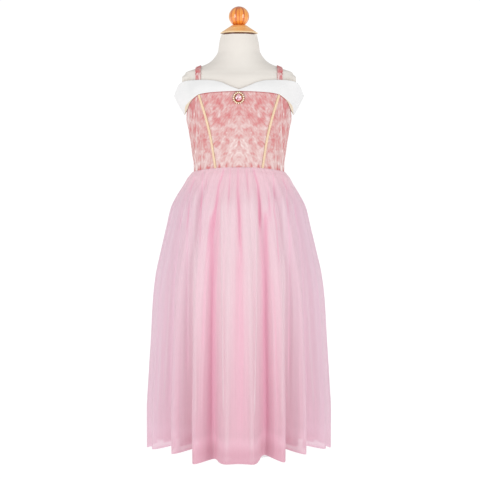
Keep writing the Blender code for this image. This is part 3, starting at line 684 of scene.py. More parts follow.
def tulle_look():
    """Sheer net: the denser the gathers and the deeper the folds, the more pink, partly its own density and
    partly painted shade; painted shade also in the troughs, at the sides and along the hem, painted light
    near the waist and in the troughs towards the sides, painted highlights on the ridges; its threads let
    through what lies behind.
    """
    look = Shade("pink_tulle")
    cloth = cloth_place(look)
    streaks = look.noise(look.stretch(cloth, (1.0, 0.018, 1.0)), 120.0, 3.0, 0.6)
    fine = look.noise(look.stretch(cloth, (1.0, 0.01, 1.0)), 480.0, 2.0, 0.6)
    cloud = look.noise(look.stretch(cloth, (1.0, 0.25, 1.0)), 16.0, 2.0)
    down = look.value("down")
    # the net's own density, with painted shade in its folds and creases from the fold value
    density_and_fold_shade = look.sum(
        (look.value("fold"), 0.55), (streaks, 0.50), (fine, 0.30), (cloud, 0.30), (down, 0.30), base=-0.42
    )
    tint = look.ramp(
        density_and_fold_shade,
        (0.00, colour(249, 230, 236)),
        (0.35, colour(247, 218, 227)),
        (0.70, colour(243, 198, 213)),
        (1.00, colour(237, 176, 197)),
    )
    # painted shade: greyer lavender where the skirt turns away at its sides
    tint = look.mix(look.math("MULTIPLY", look.value("side"), 0.62), tint, colour(231, 200, 219))
    centre = look.math("SUBTRACT", 1.0, look.math("MULTIPLY", look.value("side"), 0.75))
    deeper = look.math("MULTIPLY", look.range(down, 0.25, 1.0), 0.62)
    tint = look.mix(look.math("MULTIPLY", deeper, centre), tint, colour(226, 172, 190))
    # painted light: paler just below the waist
    waist = look.range(down, 0.16, 0.0, 0.0, 0.60)
    tint = look.mix(waist, tint, colour(255, 216, 227))
    # painted shade in the troughs of the upper skirt
    in_trough = look.range(look.value("fold"), 0.35, 1.2)
    valley_shade = look.math("MULTIPLY", in_trough, look.range(down, 0.45, 0.15, 0.10, 0.52))
    tint = look.mix(valley_shade, tint, colour(233, 158, 184))
    # painted highlight along the ridges
    ridge_highlight = look.range(look.value("fold"), -0.20, -0.80, 0.0, 0.45)
    tint = look.mix(ridge_highlight, tint, colour(255, 242, 246))
    # painted shade along the hem band at the front and back
    border = look.math("MULTIPLY", look.range(down, 0.915, 0.975), centre)
    tint = look.mix(look.math("MULTIPLY", border, 0.75), tint, colour(212, 158, 174))
    net = look.add(
        "TexVoronoi",
        {"Vector": cloth, "Scale": 750.0},
        "Distance",
        feature="DISTANCE_TO_EDGE",
        voronoi_dimensions="2D",
    )
    threads = look.range(net, 0.05, 0.22, 1.0, 0.0)
    cover = look.range(density_and_fold_shade, 0.05, 0.95, 0.62, 0.86)
    cover = look.math("ADD", cover, look.math("MULTIPLY", threads, 0.14))
    closed = look.math("MULTIPLY", look.range(down, 0.900, 0.950), centre)
    cover = look.sum((cover, 1.0), (look.value("edge"), 0.30), (closed, 0.24))
    cover = look.math("MINIMUM", cover, 1.0)
    return look.finish(
        Base_Color=tint,
        Roughness=0.85,
        Alpha=cover,
        Sheen_Weight=0.25,
        Sheen_Roughness=0.5,
        Specular_IOR_Level=0.15,
        Normal=look.bump(streaks, 0.0016, 0.35, look.bump(threads, 0.0002, 0.3)),
    )


def lining_look():
    """The denser underskirt: soft pink with faint threads and long shadows in its folds."""
    look = Shade("pink_lining")
    cloth = cloth_place(look)
    streaks = look.noise(look.stretch(cloth, (1.0, 0.02, 1.0)), 90.0, 3.0, 0.6)
    density_and_fold_shade = look.sum((look.value("fold"), 0.5), (streaks, 1.0))
    tint = look.ramp(
        density_and_fold_shade,
        (0.30, colour(254, 216, 226)),
        (0.70, colour(251, 200, 213)),
        (1.15, colour(245, 184, 200)),
    )
    threads = look.noise(look.stretch(cloth, (1.0, 0.3, 1.0)), 1300.0, 1.0)
    return look.finish(
        Base_Color=tint,
        Roughness=0.6,
        Sheen_Weight=0.3,
        Sheen_Roughness=0.45,
        Specular_IOR_Level=0.3,
        Normal=look.bump(streaks, 0.0015, 0.4, look.bump(threads, 0.0001, 0.3)),
    )


def jersey_look():
    """The form's knitted cover."""
    look = Shade("cream_jersey")
    place = look.place()
    cloud = look.noise(place, 14.0, 3.0)
    tint = look.ramp(cloud, (0.3, colour(227, 221, 214)), (0.7, colour(232, 227, 220)))
    ribs = look.add(
        "TexWave", {"Vector": place, "Scale": 420.0, "Distortion": 1.5, "Detail": 1.0}, "Fac"
    )
    knit = look.noise(place, 1100.0, 1.0)
    return look.finish(
        Base_Color=tint,
        Roughness=look.range(cloud, 0.2, 0.8, 0.85, 0.95),
        Sheen_Weight=0.15,
        Sheen_Roughness=0.5,
        Specular_IOR_Level=0.2,
        Normal=look.bump(knit, 0.0002, 0.5, look.bump(ribs, 0.0001, 0.25)),
    )


def pale_wood_look():
    """The cap's turned wood: rings that show as level bands, with a painted highlight along the rim and
    painted shade in the groove under it.
    """
    look = Shade("pale_wood")
    place = look.place()
    height = look.split(place)[2]
    grain = look.noise(look.stretch(place, (0.12, 0.12, 1.9)), 240.0, 4.0, 0.6, 0.5)
    pores = look.noise(look.stretch(place, (0.2, 1.0, 1.0)), 900.0, 2.0)
    tint = look.ramp(
        look.sum((grain, 0.85), (pores, 0.15)),
        (0.34, colour(246, 162, 84)),
        (0.50, colour(253, 192, 116)),
        (0.68, colour(255, 212, 152)),
    )
    # painted highlight along the rim's upper edge
    rim = look.range(height, CAP_RIM_Z + 0.0042, CAP_RIM_Z + 0.0018)
    tint = look.mix(look.math("MULTIPLY", rim, 0.7), tint, colour(255, 234, 192))
    # painted shade in the groove under the rim
    recess_shade = look.range(height, CAP_RIM_Z + 0.0006, CAP_RIM_Z - 0.0002)
    tint = look.mix(recess_shade, tint, colour(118, 68, 46))
    return look.finish(
        Base_Color=tint,
        Roughness=look.range(pores, 0.3, 0.7, 0.34, 0.46),
        Coat_Weight=0.3,
        Coat_Roughness=0.25,
        Normal=look.bump(grain, 0.0003, 0.3),
    )


def varnished_wood_look():
    """The knob's grain, which runs from pole to pole under a gloss varnish."""
    look = Shade("varnished_wood")
    place = look.place()
    x, y, z = look.split(place)
    round_it = look.add("VectorMath", {0: look.join(x, y, 0.0)}, operation="NORMALIZE")
    waved = look.add("VectorMath", {0: round_it, 1: look.join(0.0, 0.0, z)}, operation="ADD")
    stripes = look.noise(waved, 4.2, 3.0, 0.6, 0.15)
    pores = look.noise(look.stretch(place, (1.0, 1.0, 0.12)), 1200.0, 2.0)
    pole = look.range(look.math("ABSOLUTE", look.math("SUBTRACT", z, KNOB_Z)), 0.012, 0.023, 0.0, 0.16)
    tint = look.ramp(
        look.sum((stripes, 1.0), (pores, 0.10), (pole, -1.0), base=-0.05),
        (0.34, colour(182, 74, 6)),
        (0.44, colour(222, 114, 12)),
        (0.53, colour(246, 150, 36)),
        (0.64, colour(252, 180, 78)),
    )
    return look.finish(
        Base_Color=tint,
        Roughness=look.range(pores, 0.3, 0.7, 0.30, 0.42),
        Coat_Weight=1.0,
        Coat_Roughness=0.05,
        Coat_IOR=1.7,
        Normal=look.bump(stripes, 0.0002, 0.15),
    )


def metal_look():
    """The stand's brushed steel."""
    look = Shade("brushed_steel")
    brush = look.noise(look.stretch(look.place(), (1.0, 1.0, 14.0)), 160.0, 3.0)
    return look.finish(
        Base_Color=look.ramp(brush, (0.3, colour(222, 222, 224)), (0.7, colour(242, 242, 244))),
        Metallic=0.6,
        Roughness=look.range(brush, 0.3, 0.7, 0.35, 0.50),
        Normal=look.bump(brush, 0.0001, 0.2),
    )


def setting_look():
    """Polished gold, tarnished a little darker in random patches."""
    look = Shade("polished_gold")
    tarnish = look.noise(look.place(), 500.0, 3.0)
    return look.finish(
        Base_Color=look.ramp(tarnish, (0.35, colour(150, 78, 50)), (0.65, colour(206, 140, 92))),
        Metallic=0.85,
        Roughness=look.range(tarnish, 0.3, 0.7, 0.30, 0.20),
        Normal=look.bump(tarnish, 0.0001, 0.3),
    )


def bead_look():
    """Small champagne beads."""
    look = Shade("champagne_beads")
    cloud = look.noise(look.place(), 350.0, 2.0)
    return look.finish(
        Base_Color=look.ramp(cloud, (0.35, colour(246, 222, 186)), (0.65, colour(253, 242, 222))),
        Metallic=0.25,
        Roughness=look.range(cloud, 0.3, 0.7, 0.16, 0.26),
        Coat_Weight=0.6,
        Coat_Roughness=0.08,
    )


def crystal_look():
    """Foil-backed pink crystal, with painted white highlights and dark reflections on its facets near the
    top, and rosy low down.
    """
    look = Shade("pink_crystal")
    z = look.split(look.place())[2]
    height = look.range(z, BROOCH_Z - STONE_HALF_HEIGHT, BROOCH_Z + STONE_HALF_HEIGHT)
    flash = look.add("TexVoronoi", {"Vector": look.place(), "Scale": 300.0}, "Color")
    spark = look.split(flash)[0]
    cloud = look.noise(look.place(), 260.0, 2.0)
    # painted highlights and reflections: random facets turn white or dark, paler towards the top
    tone = look.sum((spark, 0.9), (height, 0.25), (cloud, 0.2), base=-0.05)
    shine = look.ramp(
        tone,
        (0.15, colour(112, 62, 78)),
        (0.35, colour(226, 140, 158)),
        (0.70, colour(246, 196, 208)),
        (0.95, colour(255, 250, 250)),
    )
    low = look.range(z, BROOCH_Z - 0.2 * STONE_HALF_HEIGHT, BROOCH_Z - 0.9 * STONE_HALF_HEIGHT)
    return look.finish(
        Base_Color=look.mix(low, shine, colour(226, 84, 110)),
        Metallic=0.25,
        Roughness=look.range(cloud, 0.3, 0.7, 0.03, 0.08),
        Coat_Weight=1.0,
        Coat_Roughness=0.02,
        Coat_IOR=1.7,
    )


def thread_look(name, red, green, blue):
    look = Shade(name)
    twist = look.noise(look.place(), 2400.0, 1.0)
    darker = colour(0.9 * red, 0.88 * green, 0.88 * blue)
    return look.finish(
        Base_Color=look.ramp(twist, (0.35, darker), (0.65, colour(red, green, blue))),
        Roughness=0.7,
        Normal=look.bump(twist, 0.0001, 0.5),
    )


def grid_quads(number):
    """Faces between neighbours in a grid of point numbers."""
    corners = (number[:-1, :-1], number[:-1, 1:], number[1:, 1:], number[1:, :-1])
    return np.stack(corners, axis=-1).reshape(-1, 4)


def turned_outwards(points, quads, caps):
    """The same faces, all turned round if together they face inwards."""
    a, b, c, d = (points[quads[:, i]] for i in range(4))
    away = a - points.mean(axis=0)
    volume = (np.cross(b - a, c - a) * away).sum() + (np.cross(c - a, d - a) * away).sum()
    if volume < 0:
        return quads[:, ::-1], [cap[::-1] for cap in caps]
    return quads, caps


def add_piece(name, points, quads, look, stands_for, caps=(), values=None, sharp=50.0):
    """A mesh object that rides on the body and stands for CAD nodes. values are held at its points."""
    points = np.asarray(points, float).reshape(-1, 3)
    quads, caps = turned_outwards(points, quads, list(caps))
    mesh = bpy.data.meshes.new(name)
    mesh.from_pydata(points.tolist(), [], quads.tolist() + caps)
    if sharp is None:
        mesh.shade_smooth()
    elif sharp > 0:
        mesh.shade_smooth()
        mesh.set_sharp_from_angle(angle=math.radians(sharp))
    for key, numbers in (values or {}).items():
        attribute = mesh.attributes.new(key, "FLOAT", "POINT")
        attribute.data.foreach_set("value", np.asarray(numbers, np.float32).ravel())
    mesh.materials.append(look)
    made = bpy.data.objects.new(name, mesh)
    bpy.context.scene.collection.objects.link(made)
    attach(made, "root")
    if stands_for:
        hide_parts(*stands_for)
    return made


def add_wall(name, outer, inner, look, stands_for, values=None):
    """A closed wall between two grids of points. Each value is a grid, or a pair: outer and inner grid."""
    rows, columns = outer.shape[:2]
    front = np.arange(rows * columns).reshape(rows, columns)
    back = front + rows * columns
    rims = [
        np.stack([front[0, 1:], front[0, :-1], back[0, :-1], back[0, 1:]], axis=-1),
        np.stack([front[-1, :-1], front[-1, 1:], back[-1, 1:], back[-1, :-1]], axis=-1),
        np.stack([front[:-1, 0], front[1:, 0], back[1:, 0], back[:-1, 0]], axis=-1),
        np.stack([front[1:, -1], front[:-1, -1], back[:-1, -1], back[1:, -1]], axis=-1),
    ]
    inside = grid_quads(back)[:, [0, 3, 2, 1]]
    quads = np.concatenate([grid_quads(front), inside, *rims])
    points = np.concatenate([outer.reshape(-1, 3), inner.reshape(-1, 3)])
    both = {}
    for key, grids in (values or {}).items():
        pair = grids if isinstance(grids, tuple) else (grids, grids)
        both[key] = np.concatenate([np.broadcast_to(g, (rows, columns)).ravel() for g in pair])
    return add_piece(name, points, quads, look, stands_for, values=both)


def add_loft(name, rings, look, stands_for, sharp=50.0, values=None):
    """A solid through closed rings of points."""
    count, columns = rings.shape[:2]
    number = np.arange(count * columns).reshape(count, columns)
    closed = np.concatenate([number, number[:, :1]], axis=1)
    caps = [number[0, ::-1].tolist(), number[-1].tolist()]
    quads = grid_quads(closed)
    return add_piece(name, rings, quads, look, stands_for, caps, values, sharp)


def edge_shares(length, step, margin=0.0012):
    """Shares from 0 to 1 about a step apart, closer at both ends so that the edge can be rounded."""
    near = np.array([0.0, 0.12, 0.4, 1.0]) * margin / length
    count = max(int(round((length - 2 * margin) / step)), 2)
    middle = np.linspace(near[-1], 1 - near[-1], count + 1)
    return np.concatenate([near[:-1], middle, 1 - near[:-1][::-1]])


def edge_round(shares, length, margin=0.0012):
    """How far the cloth has come up to its full thickness: 0 at an edge, 1 from the margin on."""
    near = np.clip(np.minimum(shares, 1 - shares) * length / margin, 0, 1)
    return np.sqrt(1 - (1 - near) ** 2)


def panel_grid(low_angle, high_angle, across, down, low_z=waist_z, high_z=bodice_top_z):
    """Angles and heights of a panel's points.

    Its sides are angles at a height, its ends heights at an angle.
    """

    def edge(height_at):
        """Heights along an end. They settle after a few steps, since each depends on the other's angle."""
        z = np.full(len(across), MID_BODICE_Z)
        for _ in range(12):
            z = height_at(low_angle(z) + (high_angle(z) - low_angle(z)) * across)
        return z

    bottom, top = edge(low_z), edge(high_z)
    z = bottom + (top - bottom) * down[:, None]
    half_gap = 0.5 * SEAM_GAP / form_radius(low_angle(z), z)
    low, high = low_angle(z) + half_gap, high_angle(z) - half_gap
    return low + (high - low) * across, z


CHEST = 0.1  # radius that turns an angle round the bodice into a length
BODICE_HEIGHT = 0.18
BODICE_STEP = 0.0014


def nap_at(angle, z):
    """How much paler or darker the front's main crush marks make the nap."""
    x = chest_radius(angle, z) * np.abs(np.sin(angle))
    total = np.zeros(x.shape)
    for across, height, wide, tall, lean, shade in NAP_MARKS:
        along, aside = z - height, x - 0.001 * across
        turn = math.radians(lean)
        off = (aside * math.cos(turn) + along * math.sin(turn)) / (0.001 * wide)
        up = (along * math.cos(turn) - aside * math.sin(turn)) / (0.001 * tall)
        total += shade * np.exp(-(off**2) - up**2)
    return total * (from_front(angle) < SIDE)


def pucker_at(angle, z):
    """0 to 1 inside the small puckers above the waist seam."""
    total = np.zeros(np.broadcast(angle, z).shape)
    above = z - waist_z(angle)
    for where, height, width in PUCKERS:
        off = np.degrees((angle - math.radians(where) + math.pi) % (2 * math.pi) - math.pi)
        narrow = width * np.clip(1 - above / height, 0.02, 1)
        total = np.maximum(total, np.exp(-((off / narrow) ** 2)) * np.clip(1 - above / height, 0, 1))
    return total


def velvet_relief(angle, z):
    """How far the velvet stands up: crushed patches, upright pulls at the sides, puckers at the waist."""
    round_it, mirrored = angle * CHEST, from_front(angle) * CHEST
    crush = 0.00026 * smooth_noise(mirrored / 0.009, z / 0.010, 11)
    crush += 0.00018 * smooth_noise(mirrored / 0.0043, z / 0.0060, 12)
    crush += 0.00010 * smooth_noise(round_it / 0.0026, z / 0.0030, 13)
    sidewards = smoothstep(math.radians(42), math.radians(66), from_front(angle))
    pulls = 0.00055 * smooth_noise(round_it / 0.0060, z / 0.040, 14)
    pulls += 0.00030 * smooth_noise(round_it / 0.0030, z / 0.022, 15)
    puckers = 0.0010 * pucker_at(angle, z)
    return crush + pulls * (0.25 + 0.75 * sidewards) + puckers


def add_bodice(look):
    """Velvet panels: a centre front, two side fronts cut to the princess seams, and one back."""
    seams = (
        ("front_centre", lambda z: -princess_angle(z), princess_angle, 0.15, (True, True)),
        ("front_left", princess_angle, lambda z: np.full_like(z, SIDE), 0.075, (True, False)),
        (
            "front_right",
            lambda z: np.full_like(z, -SIDE),
            lambda z: -princess_angle(z),
            0.075,
            (False, True),
        ),
        ("back", lambda z: np.full_like(z, SIDE), lambda z: np.full_like(z, 3 * SIDE), 0.30, (False, False)),
    )
    made = {}
    for name, low, high, width, trimmed in seams:
        across, down = edge_shares(width, BODICE_STEP), edge_shares(BODICE_HEIGHT, BODICE_STEP)
        angle, z = panel_grid(low, high, across, down)
        full = edge_round(across, width) * edge_round(down, BODICE_HEIGHT)[:, None]
        free = np.ones_like(angle)
        for edge, is_trimmed in ((low(z), trimmed[0]), (high(z), trimmed[1])):
            off = np.abs(angle - edge) * CHEST
            free *= smoothstep(0.0028, 0.0050, off) if is_trimmed else smoothstep(0.0, 0.003, off)
        free *= 1 - smoothstep(collar_edge_z(angle) - 0.003, collar_edge_z(angle) + 0.001, z)
        inner = form_radius(angle, z) + CLOTH_GAP
        outer = inner + VELVET * (0.35 + 0.65 * full) + velvet_relief(angle, z) * free * full
        node = "bodice_" + name
        made[name] = add_wall(
            node + "_velvet",
            points_at(angle, outer, z),
            points_at(angle, inner, z),
            look,
            [node],
            {
                # painted shade on the puckers above the waist
                "pucker_shade_and_light": pucker_at(angle, z) * full,
                "nap": nap_at(angle, z),
                # painted shadow under the collar's lower edge
                "collar_edge_shadow": np.exp(-((np.clip(collar_edge_z(angle) - z, 0, 1) / 0.0016) ** 2)),
            },
        )
    return made


def add_trims(look):
    """Gold braid on the princess seams: two corded edges and chevrons between them."""
    across = np.linspace(-1, 1, 17)
    half = 0.5 * TRIM_WIDTH / chest_radius(princess_angle(MID_BODICE_Z), MID_BODICE_Z)
    made = {}
    for name, side in (("trim_left", 1), ("trim_right", -1)):
        angle, z = panel_grid(
            lambda z: side * princess_angle(z) - half,
            lambda z: side * princess_angle(z) + half,
            (across + 1) / 2,
            np.linspace(0, 1, 420),
            high_z=lambda angle: collar_edge_z(angle) - 2 * SEAM_GAP,
        )
        inner = form_radius(angle, z) + CLOTH_GAP + VELVET + TRIM_GAP
        chevrons = 0.5 + 0.5 * np.sin(2 * math.pi * (z / 0.0019 + 0.9 * np.abs(across)))
        cords = np.exp(-(((np.abs(across) - 0.86) / 0.12) ** 2))
        middle = 1 - smoothstep(0.62, 0.74, np.abs(across))
        beads = 0.5 + 0.5 * np.sin(2 * math.pi * z / 0.0011)
        weave = middle * chevrons + cords * (0.55 + 0.45 * beads)
        edge = np.sqrt(np.clip(1 - np.abs(across) ** 6, 0, 1))
        thick = TRIM_THICK * (0.30 + 0.45 * edge) + 0.00030 * weave
        made[name] = add_wall(
            name + "_braid",
            points_at(angle, inner + thick, z),
            points_at(angle, inner, z),
            look,
            [name],
            {"weave": np.clip(weave, 0, 1)},
        )
    return made


def collar_creases(degrees, down, side):
    """Soft folds of the collar: long ones along it, short ones towards the wing's point."""
    long_ones = 0.0006 * smooth_noise(degrees / 19 + 7 * side, down * 2.2, 21)
    wing = np.exp(-(((degrees - 88) / 16) ** 2))
    short_ones = 0.0011 * smooth_noise(degrees / 5.5 + 3 * side, down * 1.2 + 2, 22) * wing
    return (long_ones + short_ones) * np.sin(math.pi * down) ** 0.5


def add_collar(look):
    """The fold-over collar: it lies on the chest, and stands off the arm plates in a pointed wing."""
    length, height, step = 0.40, 0.035, 0.0014
    down = edge_shares(height, step)
    full = edge_round(down, height)[:, None]
    made = {}
    for name, low, high in (("front", -SIDE, SIDE), ("back", SIDE, 3 * SIDE)):
        across = edge_shares(length, step)
        gap = 0.5 * SEAM_GAP / ARM_PLATE_X
        angle = low + gap + (high - low - 2 * gap) * across
        degrees = np.degrees(from_front(angle))
        side = np.sign(np.sin(angle))
        fold_z, edge_z = COLLAR.at("fold_z", degrees), COLLAR.at("edge_z", degrees)
        fold_out, edge_out = (
            COLLAR_OUT + 0.001 * COLLAR.at(column, degrees) for column in ("fold_off_mm", "edge_off_mm")
        )
        drop = down[:, None]
        z = fold_z + (edge_z - fold_z) * drop
        crown = COLLAR_CROWN * np.sin(math.pi * drop) ** 0.7
        inner = chest_radius(angle, z) + fold_out + (edge_out - fold_out) * drop
        facing = z - COLLAR_FACING * drop**3 * np.exp(-(((degrees - 76) / 6.5) ** 2))
        bulk = COLLAR_EDGE + crown * np.clip((fold_z - edge_z) / COLLAR_FULL_HEIGHT, 0, 1)
        room = np.clip((fold_z - edge_z) / COLLAR_FULL_HEIGHT, 0.15, 1)
        thick = bulk * (0.25 + 0.75 * full) + np.maximum(
            collar_creases(degrees, drop, side) * room, -0.4 * bulk
        )
        node = "collar_" + name
        made[name] = add_wall(
            node + "_satin",
            points_at(angle, inner + thick, z),
            points_at(angle, inner, facing),
            look,
            [node],
            {"under": (np.broadcast_to(drop >= 1, z.shape), np.ones_like(z))},
        )
    return made


def shoulder_line(x, low_z, shares):
    """(y, z) on the form at one x, from the chest over the shoulder and down the back."""
    heights = np.linspace(SHOULDER_Z, NECK_BASE_Z, 400)
    top = heights[np.argmin(np.abs(FORM.at("half_width", heights) - x))]
    z = top - (top - low_z) * np.linspace(1, 0, 160) ** 2
    square = FORM.at("squareness", z)
    rest = np.clip(1 - (x / FORM.at("half_width", z)) ** square, 0, None) ** (1 / square)
    front = np.stack([-FORM.at("front", z) * rest, z], axis=-1)
    back = np.stack([FORM.at("back", z) * rest, z], axis=-1)[::-1]
    line = np.concatenate([front[:-1], back])
    length = np.concatenate([[0], np.cumsum(np.linalg.norm(np.diff(line, axis=0), axis=1))])
    even = shares * length[-1]
    return np.stack([np.interp(even, length, line[:, 0]), np.interp(even, length, line[:, 1])], axis=-1)


def add_straps(look):
    """Velvet straps ruched along their edges."""
    count = 280
    share = np.linspace(0, 1, count)
    clear_of_collar = smoothstep(0.05, 0.16, np.minimum(share, 1 - share))
    across = np.linspace(-1, 1, 19)
    crown = 0.55 + 0.45 * np.sqrt(np.clip(1 - np.abs(across) ** 4, 0, 1))
    made = {}
    for name, side in (("strap_left", 1), ("strap_right", -1)):
        outer, inner, tones = [], [], []
        for place, height in zip(across, crown):
            x = STRAP_X + 0.5 * place * STRAP_WIDTH
            line = shoulder_line(x, bodice_top_z(math.radians(57)) + 2 * SEAM_GAP, share)
            along = np.gradient(line, axis=0)
            away = np.stack([-along[:, 1], along[:, 0]], axis=-1)
            away /= np.linalg.norm(away, axis=1)[:, None]
            waver = 0.10 * smooth_noise(share * 26, np.full(count, place * 0.9 + 5), 31)
            turns = STRAP_RUCHES * share + 0.22 * waver + 0.05 * smooth_noise(share * 9, 0.5, 32)
            ruche = (0.5 - 0.5 * np.cos(2 * math.pi * turns)) ** 0.7
            uneven = 0.70 + 0.50 * smooth_noise(share * STRAP_RUCHES, place * 2 + 1.5, 33)
            thick = STRAP_FLAT + clear_of_collar * (STRAP_FULL + STRAP_RUCHE * ruche * uneven)
            pinch = 1 - (0.10 + 0.14 * uneven) * clear_of_collar * (1 - ruche)
            xs = np.full(count, side * (STRAP_X + 0.5 * place * STRAP_WIDTH * pinch))
            for grid, offset in ((inner, STRAP_GAP), (outer, STRAP_GAP + thick * height)):
                moved = line + away * np.broadcast_to(offset, count)[:, None]
                grid.append(np.column_stack([xs, moved]))
            # painted shade in the hollows between the ruches, painted light on their crests
            tones.append(clear_of_collar * (0.75 - 0.95 * ruche * uneven))
        made[name] = add_wall(
            name + "_velvet",
            np.stack(outer, axis=1),
            np.stack(inner, axis=1),
            look,
            [name],
            {"pucker_shade_and_light": np.stack(tones, axis=1), "nap": np.full((count, len(across)), 0.02)},
        )
    return made


def fold_values(column, waist_angle):
    """A column of SKIRT_FOLDS at angles round the waist; the table closes on itself."""
    names, rows = SKIRT_FOLDS
    rows = np.array(rows)
    knots = rows[:, 0]
    values = rows[:, names.index(column)]
    turn = 360 if column == "hem_deg" else 0
    knots = np.concatenate([knots - 360, knots, knots + 360])
    values = np.concatenate([values - turn, values, values + turn])
    return curve_through(knots, values, np.degrees(waist_angle))


def front_crease(x, y, z):
    """How deep the front's creases run, in metres, at points of the skirt."""
    total = np.zeros(x.shape)
    facing = smoothstep(0.02, -0.02, y)
    for depth, width, line in FRONT_CREASES:
        line = np.array(line)[::-1]
        off = (x - np.interp(z, line[:, 1], line[:, 0])) / (0.001 * width)
        shown = smoothstep(line[0, 1] - 0.03, line[0, 1] + 0.03, z)
        start = 0.004 if line[-1, 1] > 0.62 else 0.035
        shown *= 1 - smoothstep(line[-1, 1] - start, line[-1, 1] + 0.012, z)
        total += 0.001 * depth * np.exp(-(off**2)) * shown
    return total * facing


def other_crease(waist, down):
    """The same for the sides and the back, at angles round the waist and shares of the way down."""
    total = np.zeros(np.broadcast(waist, down).shape)
    for where, depth, width, start, end in OTHER_CREASES:
        off = np.degrees((waist - math.radians(where) + math.pi) % (2 * math.pi) - math.pi)
        lean = 0.8 * np.sin(where * 1.7) * down
        across = np.exp(-(((off - lean) / (width * (1 + 0.8 * down))) ** 2))
        begin = smoothstep(start - 0.01, start + 0.02, down)
        total += 0.001 * depth * across * begin * (1 - smoothstep(0.55 * end, end, down))
    return total


def skirt_points(waist, down, waist_out, inset=0.0, fold_share=1.0, hem_rise=0.0):
    """The skirt's smooth form, as (angle, radius, z, flare, trough). The folds grow towards the oval hem."""
    hem_angle = np.radians(fold_values("hem_deg", waist))
    angle = waist + (hem_angle - waist) * down
    hem = HEM_Z + hem_rise + 0.001 * fold_values("lift_mm", waist)
    start = waist_z(waist) - 1.4 * SEAM_GAP
    z = start + (hem - start) * down
    side_z = WAIST_SIDE_Z + (HEM_Z - WAIST_SIDE_Z) * (start - z) / (start - HEM_Z)
    narrowest = SKIRT_SIDE.at("half_width", WAIST_SIDE_Z)
    flare = (SKIRT_SIDE.at("half_width", side_z) - narrowest) / (HEM_HALF_WIDTH - narrowest)
    at_waist = form_radius(angle, np.broadcast_to(start, angle.shape)) + waist_out
    at_hem = section_radius(angle, HEM_HALF_WIDTH, HEM_DEPTH, HEM_DEPTH, 2.0)
    trough = (1 - fold_values("reach", waist)) * at_hem * down**FOLD_GROWTH
    radius = at_waist + (at_hem - at_waist) * flare - fold_share * trough - inset * flare
    return angle, radius, z, flare, trough


def skirt_levels(count):
    """Shares of the way to the hem, closer together near the waist."""
    share = np.linspace(0, 1, count)
    return (0.35 * share + 0.65 * share**1.9)[:, None]


def add_tulle(look):
    """The gathered tulle, front and back: open sheets in the place of the solids' walls."""
    waist_out = WAIST_GAP + LINING + 1.3 * SEAM_GAP + TULLE
    made = {}
    for name, low, high in (("front", -SIDE, SIDE), ("back", SIDE, 3 * SIDE)):
        down = skirt_levels(150)
        gap = 0.5 * SEAM_GAP / 0.15
        waist = np.linspace(low + gap, high - gap, 521)
        angle, radius, z, flare, trough = skirt_points(waist, down, waist_out)
        number = (waist % (2 * math.pi)) * GATHERS / (2 * math.pi)
        wave = (0.5 - 0.5 * np.cos(2 * math.pi * number)) ** 0.7
        unevenness = 1 + 0.35 * np.sin(2.4 * np.floor(number)) + 0.2 * np.sin(5.1 * np.floor(number) + 1)
        swell = 0.25 + 0.75 * smoothstep(0, GATHER_FULL_AT, down) - smoothstep(GATHER_FULL_AT, 1.0, down)
        puff = 1.2 * GATHER_DEPTH * wave * unevenness * swell
        tight = 1 - smoothstep(0.0, 0.16, down)
        small = 0.0009 * (1 + smooth_noise(waist * CHEST / 0.0026, down * 9, 41)) * tight
        puffed = radius + puff + small
        puffed[0] = form_radius(angle[0], z[0]) + CLOTH_GAP + 0.5 * VELVET
        z[0] += TUCK
        crease = other_crease(waist, down) + front_crease(puffed * np.sin(angle), -puffed * np.cos(angle), z)
        room = np.clip(flare * UNDERSKIRT_INSET * 0.5, 0, 0.004) + puff
        ripple = 0.0010 * smooth_noise(waist * 34, down * 2.5, 42)
        ripple = ripple + 0.0006 * smooth_noise(waist * 90, down * 4, 43)
        radius = puffed - np.clip(crease, -0.003, room) + ripple * smoothstep(0.1, 0.5, down)
        # the fold value feeds the tulle's painted shade in troughs and creases, painted light in the troughs
        # towards the sides, where it goes below zero, and the painted highlight on ridges
        deep = 0.8 * np.clip(trough / 0.040, 0, 1) * (1 - 0.55 * smoothstep(0.4, 1.0, down))
        deep = deep * (1 - 2.0 * smoothstep(math.radians(27), math.radians(40), from_front(waist)))
        reach = deep + 0.9 * np.clip(crease / 0.0026, -1.0, 1)
        reach += 0.35 * (1 - wave) * swell
        # where the tulle's painted shade at the sides goes
        side = smoothstep(0.32, 0.97, np.abs(np.sin(angle))) * smoothstep(0.0, 0.08, down)
        node = "skirt_" + name
        made[name] = add_piece(
            node + "_tulle",
            points_at(angle, radius, z),
            grid_quads(np.arange(z.size).reshape(z.shape)),
            look,
            [node],
            values={
                "fold": reach,
                "cloth_u": np.broadcast_to(waist * HEM_DEPTH, z.shape),
                "cloth_v": np.broadcast_to(down * (WAIST_SIDE_Z - HEM_Z), z.shape),
                "edge": np.broadcast_to(smoothstep(0.9965, 0.9985, down), z.shape),
                "side": side,
                "down": np.broadcast_to(down, z.shape),
            },
            sharp=None,
        )
    return made


